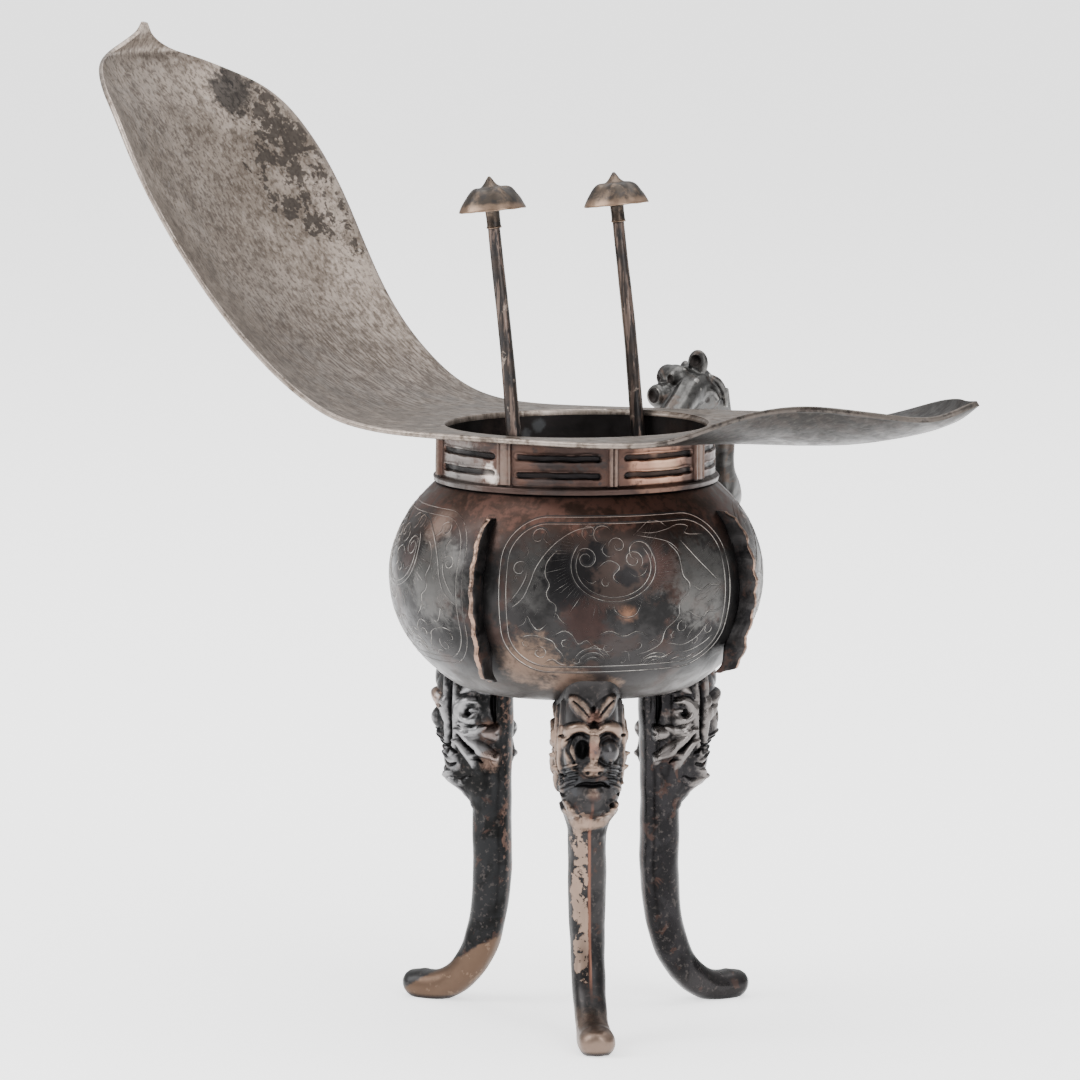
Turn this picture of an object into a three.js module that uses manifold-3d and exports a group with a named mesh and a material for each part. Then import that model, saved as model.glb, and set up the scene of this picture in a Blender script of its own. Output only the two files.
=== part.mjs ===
// Tripod wine cup of tarnished silver, built up from raised sheet and castings that are soldered together.
// Millimetres, +Z up. Everything is made round the bowl's upright axis, with the tail to +X, the pouring
// spout to -X and the handle to +Y. At the end it is moved so that its box stands centred on the origin.

import * as THREE from 'three';
import { mergeVertices } from 'three/addons/utils/BufferGeometryUtils.js';
import Module from 'manifold-3d';

const wasm = await Module();
wasm.setup();

// Driving dimensions: the bowl and its neck
const solderGap = 0.3; // clearance between two soldered pieces
const bowlFloorHeight = 54; // ground to the bowl's underside
const bowlRadius = 30;
const bowlDepthBelow = 18; // widest level down to the underside
const bowlRoundness = 22.7; // upright half-axis of the bowl's oval
const bowlWall = 1.2;
const collarRadius = 22.2;
const collarWall = 1.2;
const collarHeight = 7.4;
const lipHeight = 1.1;
const lipReach = 0.5;
const pilasterWidth = 2.6;
const pilasterReach = 0.55;
const slotDepth = 0.5;
const slotHeight = 0.9;
const slotMargin = 5; // degrees between a slot's end and the pilaster or boss beside it
const bossWidth = 1.5;
const bossReach = 0.8;

// The sheet with the mouth, spout and tail
const sheetThickness = 0.9;
const sheetHalfWidth = 24; // from the axis to the long edges beside the mouth
const mouthInset = 0.1; // the mouth's edge stands this far inside the collar's bore
const spoutLength = 82.3;
const spoutRise = 62.3; // mouth level up to the spout's tip
const spoutHalfWidth = 27.8;
const spoutCurl = 7; // how far the edges of the spout are rolled in
const tailLength = 70.5;
const tailRise = 7.3;
const tailCurl = 7; // how far the near edge of the tail is rolled up
const farCurl = 0.7; // the far edge beside the mouth is bent up this far
const tipHalfWidth = 0.3; // what is left of the width at the two tips

// The two posts and their caps
const postRadius = 1.15;
const postTopRadius = 0.95;
const postDepth = 7; // how far the posts reach down inside the neck
const postHeights = { front: 35.2, back: 33.8 }; // mouth level up to the caps' underside
const postLean = 3.8; // the tops lean this far towards the spout
const postToe = -0.1; // and this far towards each other
const sleeveLength = 3;
const capRadius = 5.35;
const capHeight = 5.2;
const capLobes = 5;

// The legs, cast from one pattern, stand under the bowl and are set in from its widest round
const legShaftInset = 14.3; // the widest round in to the middle of the shaft
const legToeReach = 3.4; // the widest round out to the toe's end
const maskInset = 5.1; // the widest round in to the mask's brow
const legHalfDepth = 3.15;
const legHalfWidth = 3.05;
const footSpot = 0.25; // worn flat under each foot
const maskDrop = 21; // bowl's underside down to the mask's chin
const maskHalfWidth = 4.9;
const legAngles = { leg_spout: 180, leg_front: -53.5, leg_back: 60 };

// The handle
const strapReach = 50; // axis to the strap's outer face
const strapThickness = 3.8;
const strapWidth = 5;
const gripDepth = 24; // height of the loop below the beast's chest
const chestRise = 1.6; // the beast's chest stands this far above the mouth
const scrollReach = 3.6;
const headTurn = 22; // degrees, the beast looks round towards the spout
const headLength = 12;
const headHeight = 9.5;
const headWidth = 7.5;
const headBack = 3.8; // the skull's back stands this far inside the strap
const headSink = 2.4; // the jaw hangs this far below the mouth's level

// The flanges on the bowl
const flangeReach = 3;
const flangeThickness = 1.5;
const flangeHeight = 25;
const flangeNotches = 7;
const flangeNotchDepth = 0.45;
const flangeDrop = 3.5; // neck down to the flange's top
const flangeHook = 1.8; // the lower end stands off the bowl by this much more
const flangeAngles = { flange_front: -90, flange_tail: 0, flange_spout: 180 };

// How finely round things are faceted
const bowlSides = 36;
const collarSides = 40;
const sheetSteps = 42;
const sheetHalfSteps = 4;

// How far pieces that become one solid run into each other, and how far a cutter runs past what it cuts
const overlap = 0.3;
const cutPast = 8;

// Levels and reaches worked out from the driving dimensions
const bowlMiddle = bowlFloorHeight + bowlDepthBelow;
const onOval = (share) => Math.sqrt(Math.max(0, 1 - share ** 2));
const bowlRadiusAt = (z) => bowlRadius * onOval((z - bowlMiddle) / bowlRoundness);
const bowlLevelAt = (r) => bowlMiddle + bowlRoundness * onOval(r / bowlRadius);
const bowlTop = bowlLevelAt(collarRadius);
const collarBottom = bowlTop + solderGap;
const collarTop = collarBottom + collarHeight;
const mouthLevel = collarTop + solderGap + sheetThickness; // the sheet's upper face
const collarBore = collarRadius - collarWall;
const legReach = bowlRadius + legToeReach;
const legShaftReach = bowlRadius - legShaftInset;
const maskFace = bowlRadius - maskInset;

const radians = THREE.MathUtils.degToRad;
const mix = THREE.MathUtils.lerp;
const ease = THREE.MathUtils.smoothstep;
const point = (x, y, z) => new THREE.Vector3(x, y, z);

// A closed mesh from rings of equally many points, with a fan over each end.
function loft(rings) {
  const n = rings[0].length;
  const corners = rings.flat();
  const ends = [rings[0], rings[rings.length - 1]];
  const first = corners.length;
  for (const ring of ends) {
    const middle = ring.reduce((sum, p) => sum.add(p), point(0, 0, 0)).divideScalar(n);
    corners.push(middle);
  }
  const faces = [];
  for (let i = 0; i + 1 < rings.length; i++) {
    for (let j = 0; j < n; j++) {
      const a = i * n + j;
      const b = i * n + ((j + 1) % n);
      faces.push(a, b, b + n, a, b + n, a + n);
    }
  }
  const last = (rings.length - 1) * n;
  for (let j = 0; j < n; j++) {
    const k = (j + 1) % n;
    faces.push(first, k, j, first + 1, last + j, last + k);
  }
  return facingOut(closedMesh(corners, faces));
}

function closedMesh(corners, faces) {
  const geometry = new THREE.BufferGeometry();
  const flat = corners.flatMap((p) => [p.x, p.y, p.z]);
  geometry.setAttribute('position', new THREE.Float32BufferAttribute(flat, 3));
  geometry.setIndex(faces);
  return geometry;
}

function signedVolume(geometry) {
  const p = geometry.attributes.position;
  const index = geometry.index.array;
  const corner = [point(0, 0, 0), point(0, 0, 0), point(0, 0, 0)];
  let volume = 0;
  for (let i = 0; i < index.length; i += 3) {
    corner.forEach((c, k) => c.fromBufferAttribute(p, index[i + k]));
    volume += corner[0].dot(corner[1].clone().cross(corner[2])) / 6;
  }
  return volume;
}

// Turns a mesh that is inside out the right way round.
function facingOut(geometry) {
  if (signedVolume(geometry) >= 0) return geometry;
  const index = geometry.index.array;
  for (let i = 0; i < index.length; i += 3) {
    [index[i], index[i + 1]] = [index[i + 1], index[i]];
  }
  return geometry;
}

// To a solid that can be joined and cut, and back.
function solid(geometry) {
  const bare = geometry.clone();
  bare.deleteAttribute('normal');
  bare.deleteAttribute('uv');
  const merged = facingOut(mergeVertices(bare, 1e-5));
  return new wasm.Manifold(
    new wasm.Mesh({
      numProp: 3,
      vertProperties: new Float32Array(merged.attributes.position.array),
      triVerts: new Uint32Array(merged.index.array),
    }),
  );
}

function geometryOf(piece) {
  const mesh = piece.getMesh();
  const geometry = new THREE.BufferGeometry();
  geometry.setAttribute('position', new THREE.Float32BufferAttribute(mesh.vertProperties, 3));
  geometry.setIndex(Array.from(mesh.triVerts));
  return geometry;
}

// A smooth value along a list of [place, value] pairs.
function smoothRow(pairs) {
  const places = pairs.map((pair) => pair[0]);
  return (place) => {
    const at = THREE.MathUtils.clamp(place, places[0], places[places.length - 1]);
    let i = 0;
    while (i + 2 < places.length && at > places[i + 1]) i++;
    return mix(pairs[i][1], pairs[i + 1][1], ease(at, places[i], places[i + 1]));
  };
}

// A turned body, upright on the axis, from an outline of [radius, height] pairs.
function turned(outline, sides) {
  const profile = outline.map(([r, z]) => new THREE.Vector2(r, z));
  return new THREE.LatheGeometry(profile, sides).rotateX(Math.PI / 2);
}

// A smooth line through points, as evenly paced as they are.
const smoothLine = (points) => new THREE.CatmullRomCurve3(points, false, 'centripetal');

// A block that follows the round wall between two angles.
function arcBlock(inner, outer, low, high, from, to, steps) {
  const rings = [];
  for (let i = 0; i <= steps; i++) {
    const a = radians(mix(from, to, i / steps));
    const at = (r, z) => point(r * Math.cos(a), r * Math.sin(a), z);
    rings.push([at(inner, low), at(outer, low), at(outer, high), at(inner, high)]);
  }
  return loft(rings);
}

// The bowl: an oval body, open at the neck, of even wall.
function bowlOutline(grow) {
  const outline = [];
  const steps = 9;
  const low = Math.asin(-bowlDepthBelow / bowlRoundness);
  const high = Math.asin((bowlTop - bowlMiddle) / bowlRoundness);
  for (let i = 0; i <= steps; i++) {
    const a = mix(low, high, i / steps);
    outline.push([(bowlRadius + grow) * Math.cos(a), bowlMiddle + (bowlRoundness + grow) * Math.sin(a)]);
  }
  return outline;
}

function makeBowl() {
  const outer = bowlOutline(0);
  const inner = bowlOutline(-bowlWall).reverse();
  inner[0][1] = bowlTop;
  const floorEdge = inner[inner.length - 1];
  floorEdge[1] = bowlFloorHeight + bowlWall;
  return turned([[0, bowlFloorHeight], ...outer, ...inner, [0, floorEdge[1]]], bowlSides);
}

// What the legs, flanges and handle are cut back from, so that they meet the bowl with the solder's gap.
function bowlClearance() {
  const outer = bowlOutline(solderGap);
  const floor = bowlFloorHeight - solderGap;
  const top = outer[outer.length - 1][1];
  return solid(turned([[0, floor], [outer[0][0], floor], ...outer, [0, top]], bowlSides));
}

// Cross-sections of the sheet. A row has the centre line's place along X and height above the mouth, the
// half-width, and how far the near and far edges curl up: all as shares of the spout's or the tail's sizes.
const spoutRows = [
  [1, 1, 0, 0, 0],
  [1.005, 0.969, 0.068, 0.01, 0.01],
  [1.013, 0.947, 0.176, 0.04, 0.04],
  [1.019, 0.922, 0.353, 0.11, 0.11],
  [1.011, 0.887, 0.489, 0.24, 0.24],
  [0.974, 0.824, 0.698, 0.51, 0.51],
  [0.925, 0.741, 0.888, 0.79, 0.79],
  [0.846, 0.555, 0.996, 1, 1],
  [0.753, 0.371, 0.953, 0.9, 0.87],
  [0.656, 0.22, 0.885, 0.71, 0.64],
  [0.537, 0.097, 0.842, 0.47, 0.36],
  [0.412, 0.018, 0.831, 0.24, 0.1],
];
const tailRows = [
  [0.383, 0, 1, 0.03, 0.16],
  [0.496, -0.03, 0.938, 0.49, 0.17],
  [0.61, -0.014, 0.796, 0.91, 0.23],
  [0.723, 0.068, 0.629, 0.97, 0.4],
  [0.837, 0.274, 0.5, 0.6, 0.56],
  [0.936, 0.575, 0.258, 0.13, 0.4],
  [1, 1, 0, 0, 0],
];
const alongRow = (rows, length, rise, halfWidth, curl) =>
  rows.map(([x, z, wide, near, far]) => [
    x * length,
    z * rise,
    Math.max(tipHalfWidth, wide * halfWidth),
    near * curl,
    far * curl,
  ]);
const sheetRows = [
  ...alongRow(spoutRows, -spoutLength, spoutRise, spoutHalfWidth, spoutCurl),
  [-sheetHalfWidth, 0, 0.985 * sheetHalfWidth, 0.04 * spoutCurl, 0],
  [-sheetHalfWidth / 2, 0, sheetHalfWidth, 0, 0],
  [sheetHalfWidth / 2, 0, sheetHalfWidth, 0, farCurl],
  ...alongRow(tailRows, tailLength, tailRise, sheetHalfWidth, tailCurl),
];

// A smooth run of cross-sections through the rows, with the direction that the sheet's upper face looks in.
function sheetStations() {
  const path = smoothLine(sheetRows.map(([x, z]) => point(x, 0, z)));
  const shape = smoothLine(sheetRows.map((row) => point(row[2], row[3], row[4])));
  const last = sheetRows.length - 1;
  const stations = [];
  for (let i = 0; i <= sheetSteps; i++) {
    const at = (i / sheetSteps) * last;
    const k = Math.min(Math.floor(at), last - 1);
    const between = (column) => mix(sheetRows[k][column], sheetRows[k + 1][column], ease(at, k, k + 1));
    const ahead = path.getTangent(at / last);
    stations.push({
      middle: path.getPoint(at / last),
      up: point(-ahead.z, 0, ahead.x),
      halfWidth: Math.max(tipHalfWidth, shape.getPoint(at / last).x),
      near: between(3),
      far: between(4),
    });
  }
  return stations;
}

// One point of the sheet: across runs from -1 at the near edge to 1 at the far edge, lift is off the face.
const curlPower = 2.2; // the curl grows with this power of the way to the edge
function onSheet(station, across, lift) {
  const curl = across < 0 ? station.near : station.far;
  const rise = curl * Math.abs(across) ** curlPower + lift;
  const place = station.middle.clone().addScaledVector(station.up, rise);
  place.y = across * station.halfWidth;
  return place.add(point(0, 0, mouthLevel));
}

function sheetBlock(low, high) {
  const across = Array.from({ length: 2 * sheetHalfSteps + 1 }, (_, j) => j / sheetHalfSteps - 1);
  const rings = sheetStations().map((station) => [
    ...across.map((a) => onSheet(station, a, high)),
    ...across.toReversed().map((a) => onSheet(station, a, low)),
  ]);
  return loft(rings);
}

function makeSheet() {
  const mouthRadius = collarBore - mouthInset;
  const mouth = new THREE.CylinderGeometry(mouthRadius, mouthRadius, 2 * cutPast, collarSides);
  mouth.rotateX(Math.PI / 2).translate(0, 0, mouthLevel);
  return geometryOf(solid(sheetBlock(-sheetThickness, 0)).subtract(solid(mouth)));
}

// The collar: a band with a foot lip, pilasters at the four quarters, a boss in the middle of each panel
// and sunk bars between them. Its top is trimmed to the underside of the sheet, which isn't quite flat.
const collarTall = collarTop + cutPast;
const panelLow = collarBottom + lipHeight;
const barLevels = [0.25, 0.68].map((share) => mix(panelLow, collarTop, share));

function collarUpright(angle, width, reach) {
  const half = THREE.MathUtils.radToDeg(width / 2 / collarRadius);
  const inner = collarRadius - overlap;
  const outer = collarRadius + reach;
  return solid(arcBlock(inner, outer, panelLow - overlap, collarTall, angle - half, angle + half, 2));
}

function collarBar(from, level) {
  const inner = collarRadius - slotDepth;
  const outer = collarRadius + 2 * bossReach;
  const low = level - slotHeight / 2;
  return solid(arcBlock(inner, outer, low, low + slotHeight, from, from + 45 - 2 * slotMargin, 3));
}

function makeCollar() {
  const wall = turned([
    [collarBore, collarBottom],
    [collarRadius + lipReach, collarBottom],
    [collarRadius + lipReach, collarBottom + lipHeight / 2],
    [collarRadius, collarBottom + lipHeight],
    [collarRadius, collarTall],
    [collarBore, collarTall],
    [collarBore, collarBottom],
  ], collarSides);
  let collar = solid(wall);
  for (let quarter = 0; quarter < 4; quarter++) {
    const angle = 90 * quarter;
    collar = collar.add(collarUpright(angle, pilasterWidth, pilasterReach));
    collar = collar.add(collarUpright(angle + 45, bossWidth, bossReach));
    for (const from of [angle + slotMargin, angle + 45 + slotMargin]) {
      for (const level of barLevels) collar = collar.subtract(collarBar(from, level));
    }
  }
  return geometryOf(collar.subtract(solid(sheetBlock(-sheetThickness - solderGap, 2 * cutPast))));
}

// The posts stand against the inside of the collar and lean towards the spout.
function postLine(name) {
  const side = name === 'front' ? -1 : 1;
  const foot = point(0, side * (collarBore - postRadius - solderGap), mouthLevel);
  const top = point(-postLean, side * (Math.abs(foot.y) - postToe), mouthLevel + postHeights[name]);
  return { foot, top, along: top.clone().sub(foot).normalize() };
}

function makePost(name) {
  const { foot, top, along } = postLine(name);
  const low = foot.clone().addScaledVector(along, -postDepth);
  const high = top.clone().addScaledVector(along, -sleeveLength - solderGap);
  const length = low.distanceTo(high);
  const rod = new THREE.CylinderGeometry(postTopRadius, postRadius, length, 14, 2);
  const turn = new THREE.Quaternion().setFromUnitVectors(point(0, 1, 0), along);
  const middle = low.add(high).multiplyScalar(0.5);
  return geometryOf(solid(rod.applyQuaternion(turn).translate(middle.x, middle.y, middle.z)));
}

// A cap is a lobed mushroom with a sleeve below and a pointed finial. A row: radius, height, lobe depth.
function makeCap(name) {
  const rows = [
    [postTopRadius, -sleeveLength, 0],
    [postTopRadius, 0.06 * capHeight, 0],
    [0.8 * capRadius, -0.02 * capHeight, 0.02],
    [capRadius, -0.04 * capHeight, 0.03],
    [0.99 * capRadius, 0.05 * capHeight, 0.04],
    [0.83 * capRadius, 0.34 * capHeight, 0.08],
    [0.6 * capRadius, 0.58 * capHeight, 0.12],
    [0.4 * capRadius, 0.66 * capHeight, 0.1],
    [0.24 * capRadius, 0.7 * capHeight, 0],
    [0.13 * capRadius, 0.86 * capHeight, 0],
    [0.04 * capRadius, capHeight, 0],
  ];
  const sides = 3 * capLobes;
  const { top, along } = postLine(name);
  const turn = new THREE.Quaternion().setFromUnitVectors(point(0, 0, 1), along);
  const rings = rows.map(([radius, height, lobe]) =>
    Array.from({ length: sides }, (_, j) => {
      const a = (2 * Math.PI * j) / sides;
      const r = radius * (1 - lobe + lobe * Math.cos(capLobes * a));
      return point(r * Math.cos(a), r * Math.sin(a), height).applyQuaternion(turn).add(top);
    }),
  );
  return loft(rings);
}

// A leg's centre line, from inside the bowl's underside down to the toe: the share of the way from the
// shaft to the toe, and the height, as a share of the leg's for the shaft and of its half-depth for the foot.
const toe = legReach - 0.38 * legHalfDepth;
const shaftRows = [
  [-0.024, 1.13],
  [-0.018, 0.889],
  [0, 0.704],
  [0, 0.537],
  [0, 0.407],
  [0.048, 0.278],
  [0.164, 0.167],
];
const footRows = [
  [0.36, 1.46],
  [0.6, 0.762],
  [0.84, 0.73],
  [1, 1.143],
];
const legPath = [
  ...shaftRows.map(([out, up]) => [mix(legShaftReach, toe, out), up * bowlFloorHeight]),
  ...footRows.map(([out, up]) => [mix(legShaftReach, toe, out), up * legHalfDepth]),
];
const legShare = smoothRow([[0, 1], [0.55, 1], [0.7, 0.93], [0.84, 0.82], [0.95, 0.82], [1, 0.56]]);

// The mask's outer face and half-width, by level above the chin, as shares of how far it stands out.
const maskChin = bowlFloorHeight - maskDrop;
const shaftFace = legShaftReach + legHalfDepth;
const byMaskLevel = (rows, low, high) =>
  smoothRow(rows.map(([level, out]) => [mix(maskChin, bowlFloorHeight, level), mix(low, high, out)]));
const maskOuterRows = [
  [0, 0],
  [0.1, 0.07],
  [0.24, 0.74],
  [0.36, 0.8],
  [0.46, 0.78],
  [0.56, 1],
  [0.9, 1.02],
  [1.2, 0.83],
];
const maskSideRows = [
  [0, 0],
  [0.2, 0.55],
  [0.45, 0.89],
  [0.6, 1],
  [1.2, 1],
];
const maskOuter = byMaskLevel(maskOuterRows, shaftFace, maskFace);
const maskSide = byMaskLevel(maskSideRows, legHalfWidth, maskHalfWidth);

// The beast's features: level as a share of the mask, turn from its front in degrees, their half-sizes, and
// how far each stands out or in, as a share of the mask's half-width.
const maskForms = [
  { form: 'forehead tuft', level: 0.93, turn: 0, tall: 0.09, wide: 13, rise: 0.14 },
  { form: 'tuft leaves', level: 0.9, turn: 34, tall: 0.1, wide: 10, rise: 0.1 },
  { form: 'brows', level: 0.77, turn: 27, tall: 0.045, wide: 17, rise: 0.18 },
  { form: 'eye hollows', level: 0.64, turn: 27, tall: 0.075, wide: 13, rise: -0.24 },
  { form: 'nose ridge', level: 0.62, turn: 0, tall: 0.13, wide: 8, rise: 0.16 },
  { form: 'snout', level: 0.45, turn: 0, tall: 0.06, wide: 22, rise: 0.2 },
  { form: 'cheeks', level: 0.47, turn: 48, tall: 0.07, wide: 13, rise: 0.1 },
  { form: 'mouth', level: 0.35, turn: 12, tall: 0.035, wide: 26, rise: -0.16 },
  { form: 'jaw', level: 0.25, turn: 0, tall: 0.06, wide: 30, rise: 0.1 },
  { form: 'ears', level: 0.68, turn: 84, tall: 0.14, wide: 17, rise: 0.16 },
  { form: 'ear hollows', level: 0.69, turn: 84, tall: 0.06, wide: 7, rise: -0.2 },
  { form: 'whisker knobs', level: 0.42, turn: 128, tall: 0.07, wide: 14, rise: 0.18 },
  { form: 'side knobs', level: 0.24, turn: 118, tall: 0.06, wide: 14, rise: 0.16 },
];

function maskRelief(z, degrees) {
  const level = (z - maskChin) / maskDrop;
  const around = Math.abs(THREE.MathUtils.euclideanModulo(degrees + 180, 360) - 180);
  return maskForms.reduce((sum, f) => {
    const d = ((level - f.level) / f.tall) ** 2 + ((around - f.turn) / f.wide) ** 2;
    return sum + f.rise * maskHalfWidth * Math.exp(-d);
  }, 0);
}

function legRings(sides, maskSteps, shaftSteps) {
  const curve = smoothLine(legPath.map(([r, z]) => point(r, 0, z)));
  const maskShare = 0.34; // of the line's length, and a little more than the mask takes
  const places = [];
  for (let i = 0; i < maskSteps; i++) places.push((maskShare * i) / maskSteps);
  for (let i = 0; i <= shaftSteps; i++) places.push(mix(maskShare, 1, i / shaftSteps));
  return places.map((place) => {
    const middle = curve.getPointAt(place);
    const ahead = curve.getTangentAt(place);
    const out = point(-ahead.z, 0, ahead.x);
    const share = legShare(place);
    const inMask = middle.z > maskChin;
    const front = inMask ? maskOuter(middle.z) - middle.x : legHalfDepth * share;
    const side = inMask ? maskSide(middle.z) : legHalfWidth * share;
    return Array.from({ length: sides }, (_, j) => {
      const a = (2 * Math.PI * j) / sides;
      const deep = Math.cos(a) > 0 ? front : legHalfDepth * share;
      const relief = inMask ? maskRelief(middle.z, THREE.MathUtils.radToDeg(a)) : 0;
      const square = inMask && Math.cos(a) > 0 ? 0.75 : 0.95;
      const x = Math.sign(Math.cos(a)) * Math.abs(Math.cos(a)) ** square * deep + relief * Math.cos(a);
      const halfWidth = mix(side, legHalfWidth * share, ease(-Math.cos(a), -0.1, 0.5));
      const y = Math.sign(Math.sin(a)) * Math.abs(Math.sin(a)) ** square * halfWidth + relief * Math.sin(a);
      return middle.clone().addScaledVector(out, x).add(point(0, y, 0));
    });
  });
}

function makeLeg(angle) {
  const body = loft(legRings(18, 18, 11)).translate(0, 0, -footSpot);
  const ground = new THREE.BoxGeometry(4 * legReach, 4 * legReach, 2 * cutPast).translate(0, 0, -cutPast);
  const leg = solid(body).subtract(bowlClearance()).subtract(solid(ground));
  return geometryOf(leg).rotateZ(radians(angle));
}

// A flange: its inner edge follows the bowl, its outer edge is notched, and its lower end is a free hook.
function makeFlange(angle) {
  const top = bowlTop - flangeDrop;
  const bottom = top - flangeHeight;
  const steps = 2 * flangeNotches;
  const tip = flangeHeight / steps / 3;
  const outer = [];
  const inner = [];
  for (let i = 0; i <= steps; i++) {
    const z = mix(top, bottom, i / steps);
    const notch = i % 2 ? flangeNotchDepth : 0;
    const hook = flangeHook * ease(i / steps, 0.7, 1);
    const reach = i === 0 ? flangeReach * 0.55 : flangeReach;
    outer.push([bowlRadiusAt(z) + reach - notch + hook, z]);
    const level = z + (Math.sign(z - bowlMiddle) * tip) / 3;
    if (i < steps) inner.push([bowlRadiusAt(z) + solderGap + hook * 1.2, level]);
  }
  outer.push([outer[steps][0] - tip, bottom - tip]);
  const shape = new THREE.Shape([...outer, ...inner.reverse()].map(([r, z]) => new THREE.Vector2(r, z)));
  const plate = new THREE.ExtrudeGeometry(shape, { depth: flangeThickness, bevelEnabled: false });
  plate.rotateX(Math.PI / 2).translate(0, flangeThickness / 2, 0);
  return geometryOf(solid(plate).subtract(bowlClearance())).rotateZ(radians(angle));
}

// The handle: a strap from the collar up to the beast's chest, over and down to the bowl, with the head on
// top. Its centre line is given as shares of the way out from the collar and of the grip's depth.
const strapMiddle = strapReach - strapThickness / 2;
const chestLevel = mouthLevel + chestRise;
const strapRows = [
  [-0.04, 0.258],
  [0.224, 0.225],
  [0.436, 0.083],
  [0.649, -0.025],
  [0.849, 0.058],
  [1, 0.292],
  [1, 0.521],
  [1.023, 0.708],
  [0.946, 0.917],
  [0.73, 1.125],
];
const strapPath = [
  ...strapRows.map(([out, drop]) => [mix(collarRadius, strapMiddle, out), chestLevel - drop * gripDepth]),
  [bowlRadius + strapThickness, chestLevel - 1.25 * gripDepth],
  [bowlRadius - strapThickness, chestLevel - 1.29 * gripDepth],
];
const scrollLevel = chestLevel - 0.75 * gripDepth;
const strapDeepRows = [
  [0, 1],
  [0.18, 1.05],
  [0.28, 1.55],
  [0.42, 1.1],
  [0.5, 1],
  [0.85, 0.95],
  [1, 1.15],
];
const strapDeep = smoothRow(strapDeepRows);

function strapRings(sides, steps) {
  const curve = smoothLine(strapPath.map(([y, z]) => point(0, y, z)));
  return Array.from({ length: steps + 1 }, (_, i) => {
    const place = i / steps;
    const middle = curve.getPointAt(place);
    const ahead = curve.getTangentAt(place);
    const out = point(0, -ahead.z, ahead.y);
    const fromScroll = (middle.z - scrollLevel) / (gripDepth / 10);
    const onStrap = middle.y > strapMiddle - strapThickness;
    const scroll = onStrap ? scrollReach * Math.exp(-(fromScroll ** 2)) : 0;
    const deep = (strapThickness / 2) * strapDeep(place);
    return Array.from({ length: sides }, (_, j) => {
      const a = (2 * Math.PI * j) / sides;
      const off = Math.cos(a) * deep + Math.max(0, Math.cos(a)) * scroll;
      const x = Math.sign(Math.sin(a)) * Math.abs(Math.sin(a)) ** 0.8 * (strapWidth / 2);
      return middle.clone().addScaledVector(out, off).add(point(x, 0, 0));
    });
  });
}

// The head, made along its own line from the back of the skull to the nose: place, centre height, half-height
// and half-width, all as shares of its size.
const headRows = [
  [0, 0.34, 0.3, 0.4],
  [0.16, 0.42, 0.42, 0.48],
  [0.34, 0.44, 0.44, 0.5],
  [0.5, 0.42, 0.4, 0.46],
  [0.62, 0.36, 0.33, 0.38],
  [0.74, 0.3, 0.26, 0.31],
  [0.86, 0.29, 0.25, 0.33],
  [0.96, 0.28, 0.23, 0.3],
  [1, 0.28, 0.14, 0.2],
];

// What is added to the head or cut from it on both sides: radius as a share of its height, how it is
// stretched, and its place along, across and up as shares of the head's size.
const headForms = [
  { form: 'ear', radius: 0.158, stretch: [1.1, 0.8, 1.5], place: [0.3, 0.3, 0.98] },
  { form: 'ear hollow', cut: true, radius: 0.095, stretch: [0.8, 0.7, 1.3], place: [0.42, 0.3, 1.02] },
  { form: 'brow', radius: 0.142, stretch: [1.2, 1, 0.9], place: [0.56, 0.255, 0.74] },
  { form: 'eye', cut: true, radius: 0.053, stretch: [1, 1, 1], place: [0.6, 0.405, 0.48] },
];

function headForm({ radius, stretch, place }, side) {
  const ball = new THREE.SphereGeometry(radius * headHeight, 8, 6).scale(...stretch);
  return solid(ball.translate(place[0] * headLength, side * place[1] * headWidth, place[2] * headHeight));
}

function makeHead() {
  const sides = 12;
  const rings = headRows.map(([place, height, tall, wide]) =>
    Array.from({ length: sides }, (_, j) => {
      const a = (2 * Math.PI * j) / sides;
      const side = Math.cos(a) * wide * headWidth;
      return point(place * headLength, side, (height + Math.sin(a) * tall) * headHeight);
    }),
  );
  let head = solid(loft(rings));
  for (const side of [-1, 1]) {
    for (const form of headForms) {
      const ball = headForm(form, side);
      head = form.cut ? head.subtract(ball) : head.add(ball);
    }
  }
  const turn = radians(-90 - headTurn);
  return geometryOf(head).rotateZ(turn).translate(0, strapMiddle - headBack, mouthLevel - headSink);
}

function makeHandle() {
  const neckReach = collarRadius + lipReach + solderGap;
  const neckBore = new THREE.CylinderGeometry(neckReach, neckReach, 4 * collarHeight, collarSides);
  neckBore.rotateX(Math.PI / 2).translate(0, 0, mouthLevel);
  const sheet = solid(sheetBlock(-sheetThickness - solderGap, solderGap));
  const handle = solid(loft(strapRings(8, 26))).add(solid(makeHead()));
  return geometryOf(handle.subtract(solid(neckBore)).subtract(bowlClearance()).subtract(sheet));
}

// Finishes: bare worn silver, tarnished silver, copper-toned wear and black tarnish.
const finish = (color, roughness) => new THREE.MeshStandardMaterial({ color, roughness, metalness: 1 });
const finishes = {
  sheet: finish(0x948a80, 0.42),
  body: finish(0x4a403c, 0.45),
  neck: finish(0x6b5048, 0.4),
  casting: finish(0x3a3a3c, 0.4),
  wire: finish(0x5a4840, 0.4),
};

const cup = new THREE.Group();

function place(name, geometry, material) {
  const mesh = new THREE.Mesh(geometry, material);
  mesh.name = name;
  cup.add(mesh);
}

place('bowl', makeBowl(), finishes.body);
place('collar', makeCollar(), finishes.neck);
place('mouth_plate', makeSheet(), finishes.sheet);
for (const name of Object.keys(postHeights)) {
  place(`post_${name}`, makePost(name), finishes.wire);
  place(`cap_${name}`, makeCap(name), finishes.wire);
}
for (const [name, angle] of Object.entries(legAngles)) place(name, makeLeg(angle), finishes.casting);
for (const [name, angle] of Object.entries(flangeAngles)) place(name, makeFlange(angle), finishes.body);
place('handle', makeHandle(), finishes.casting);

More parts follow.
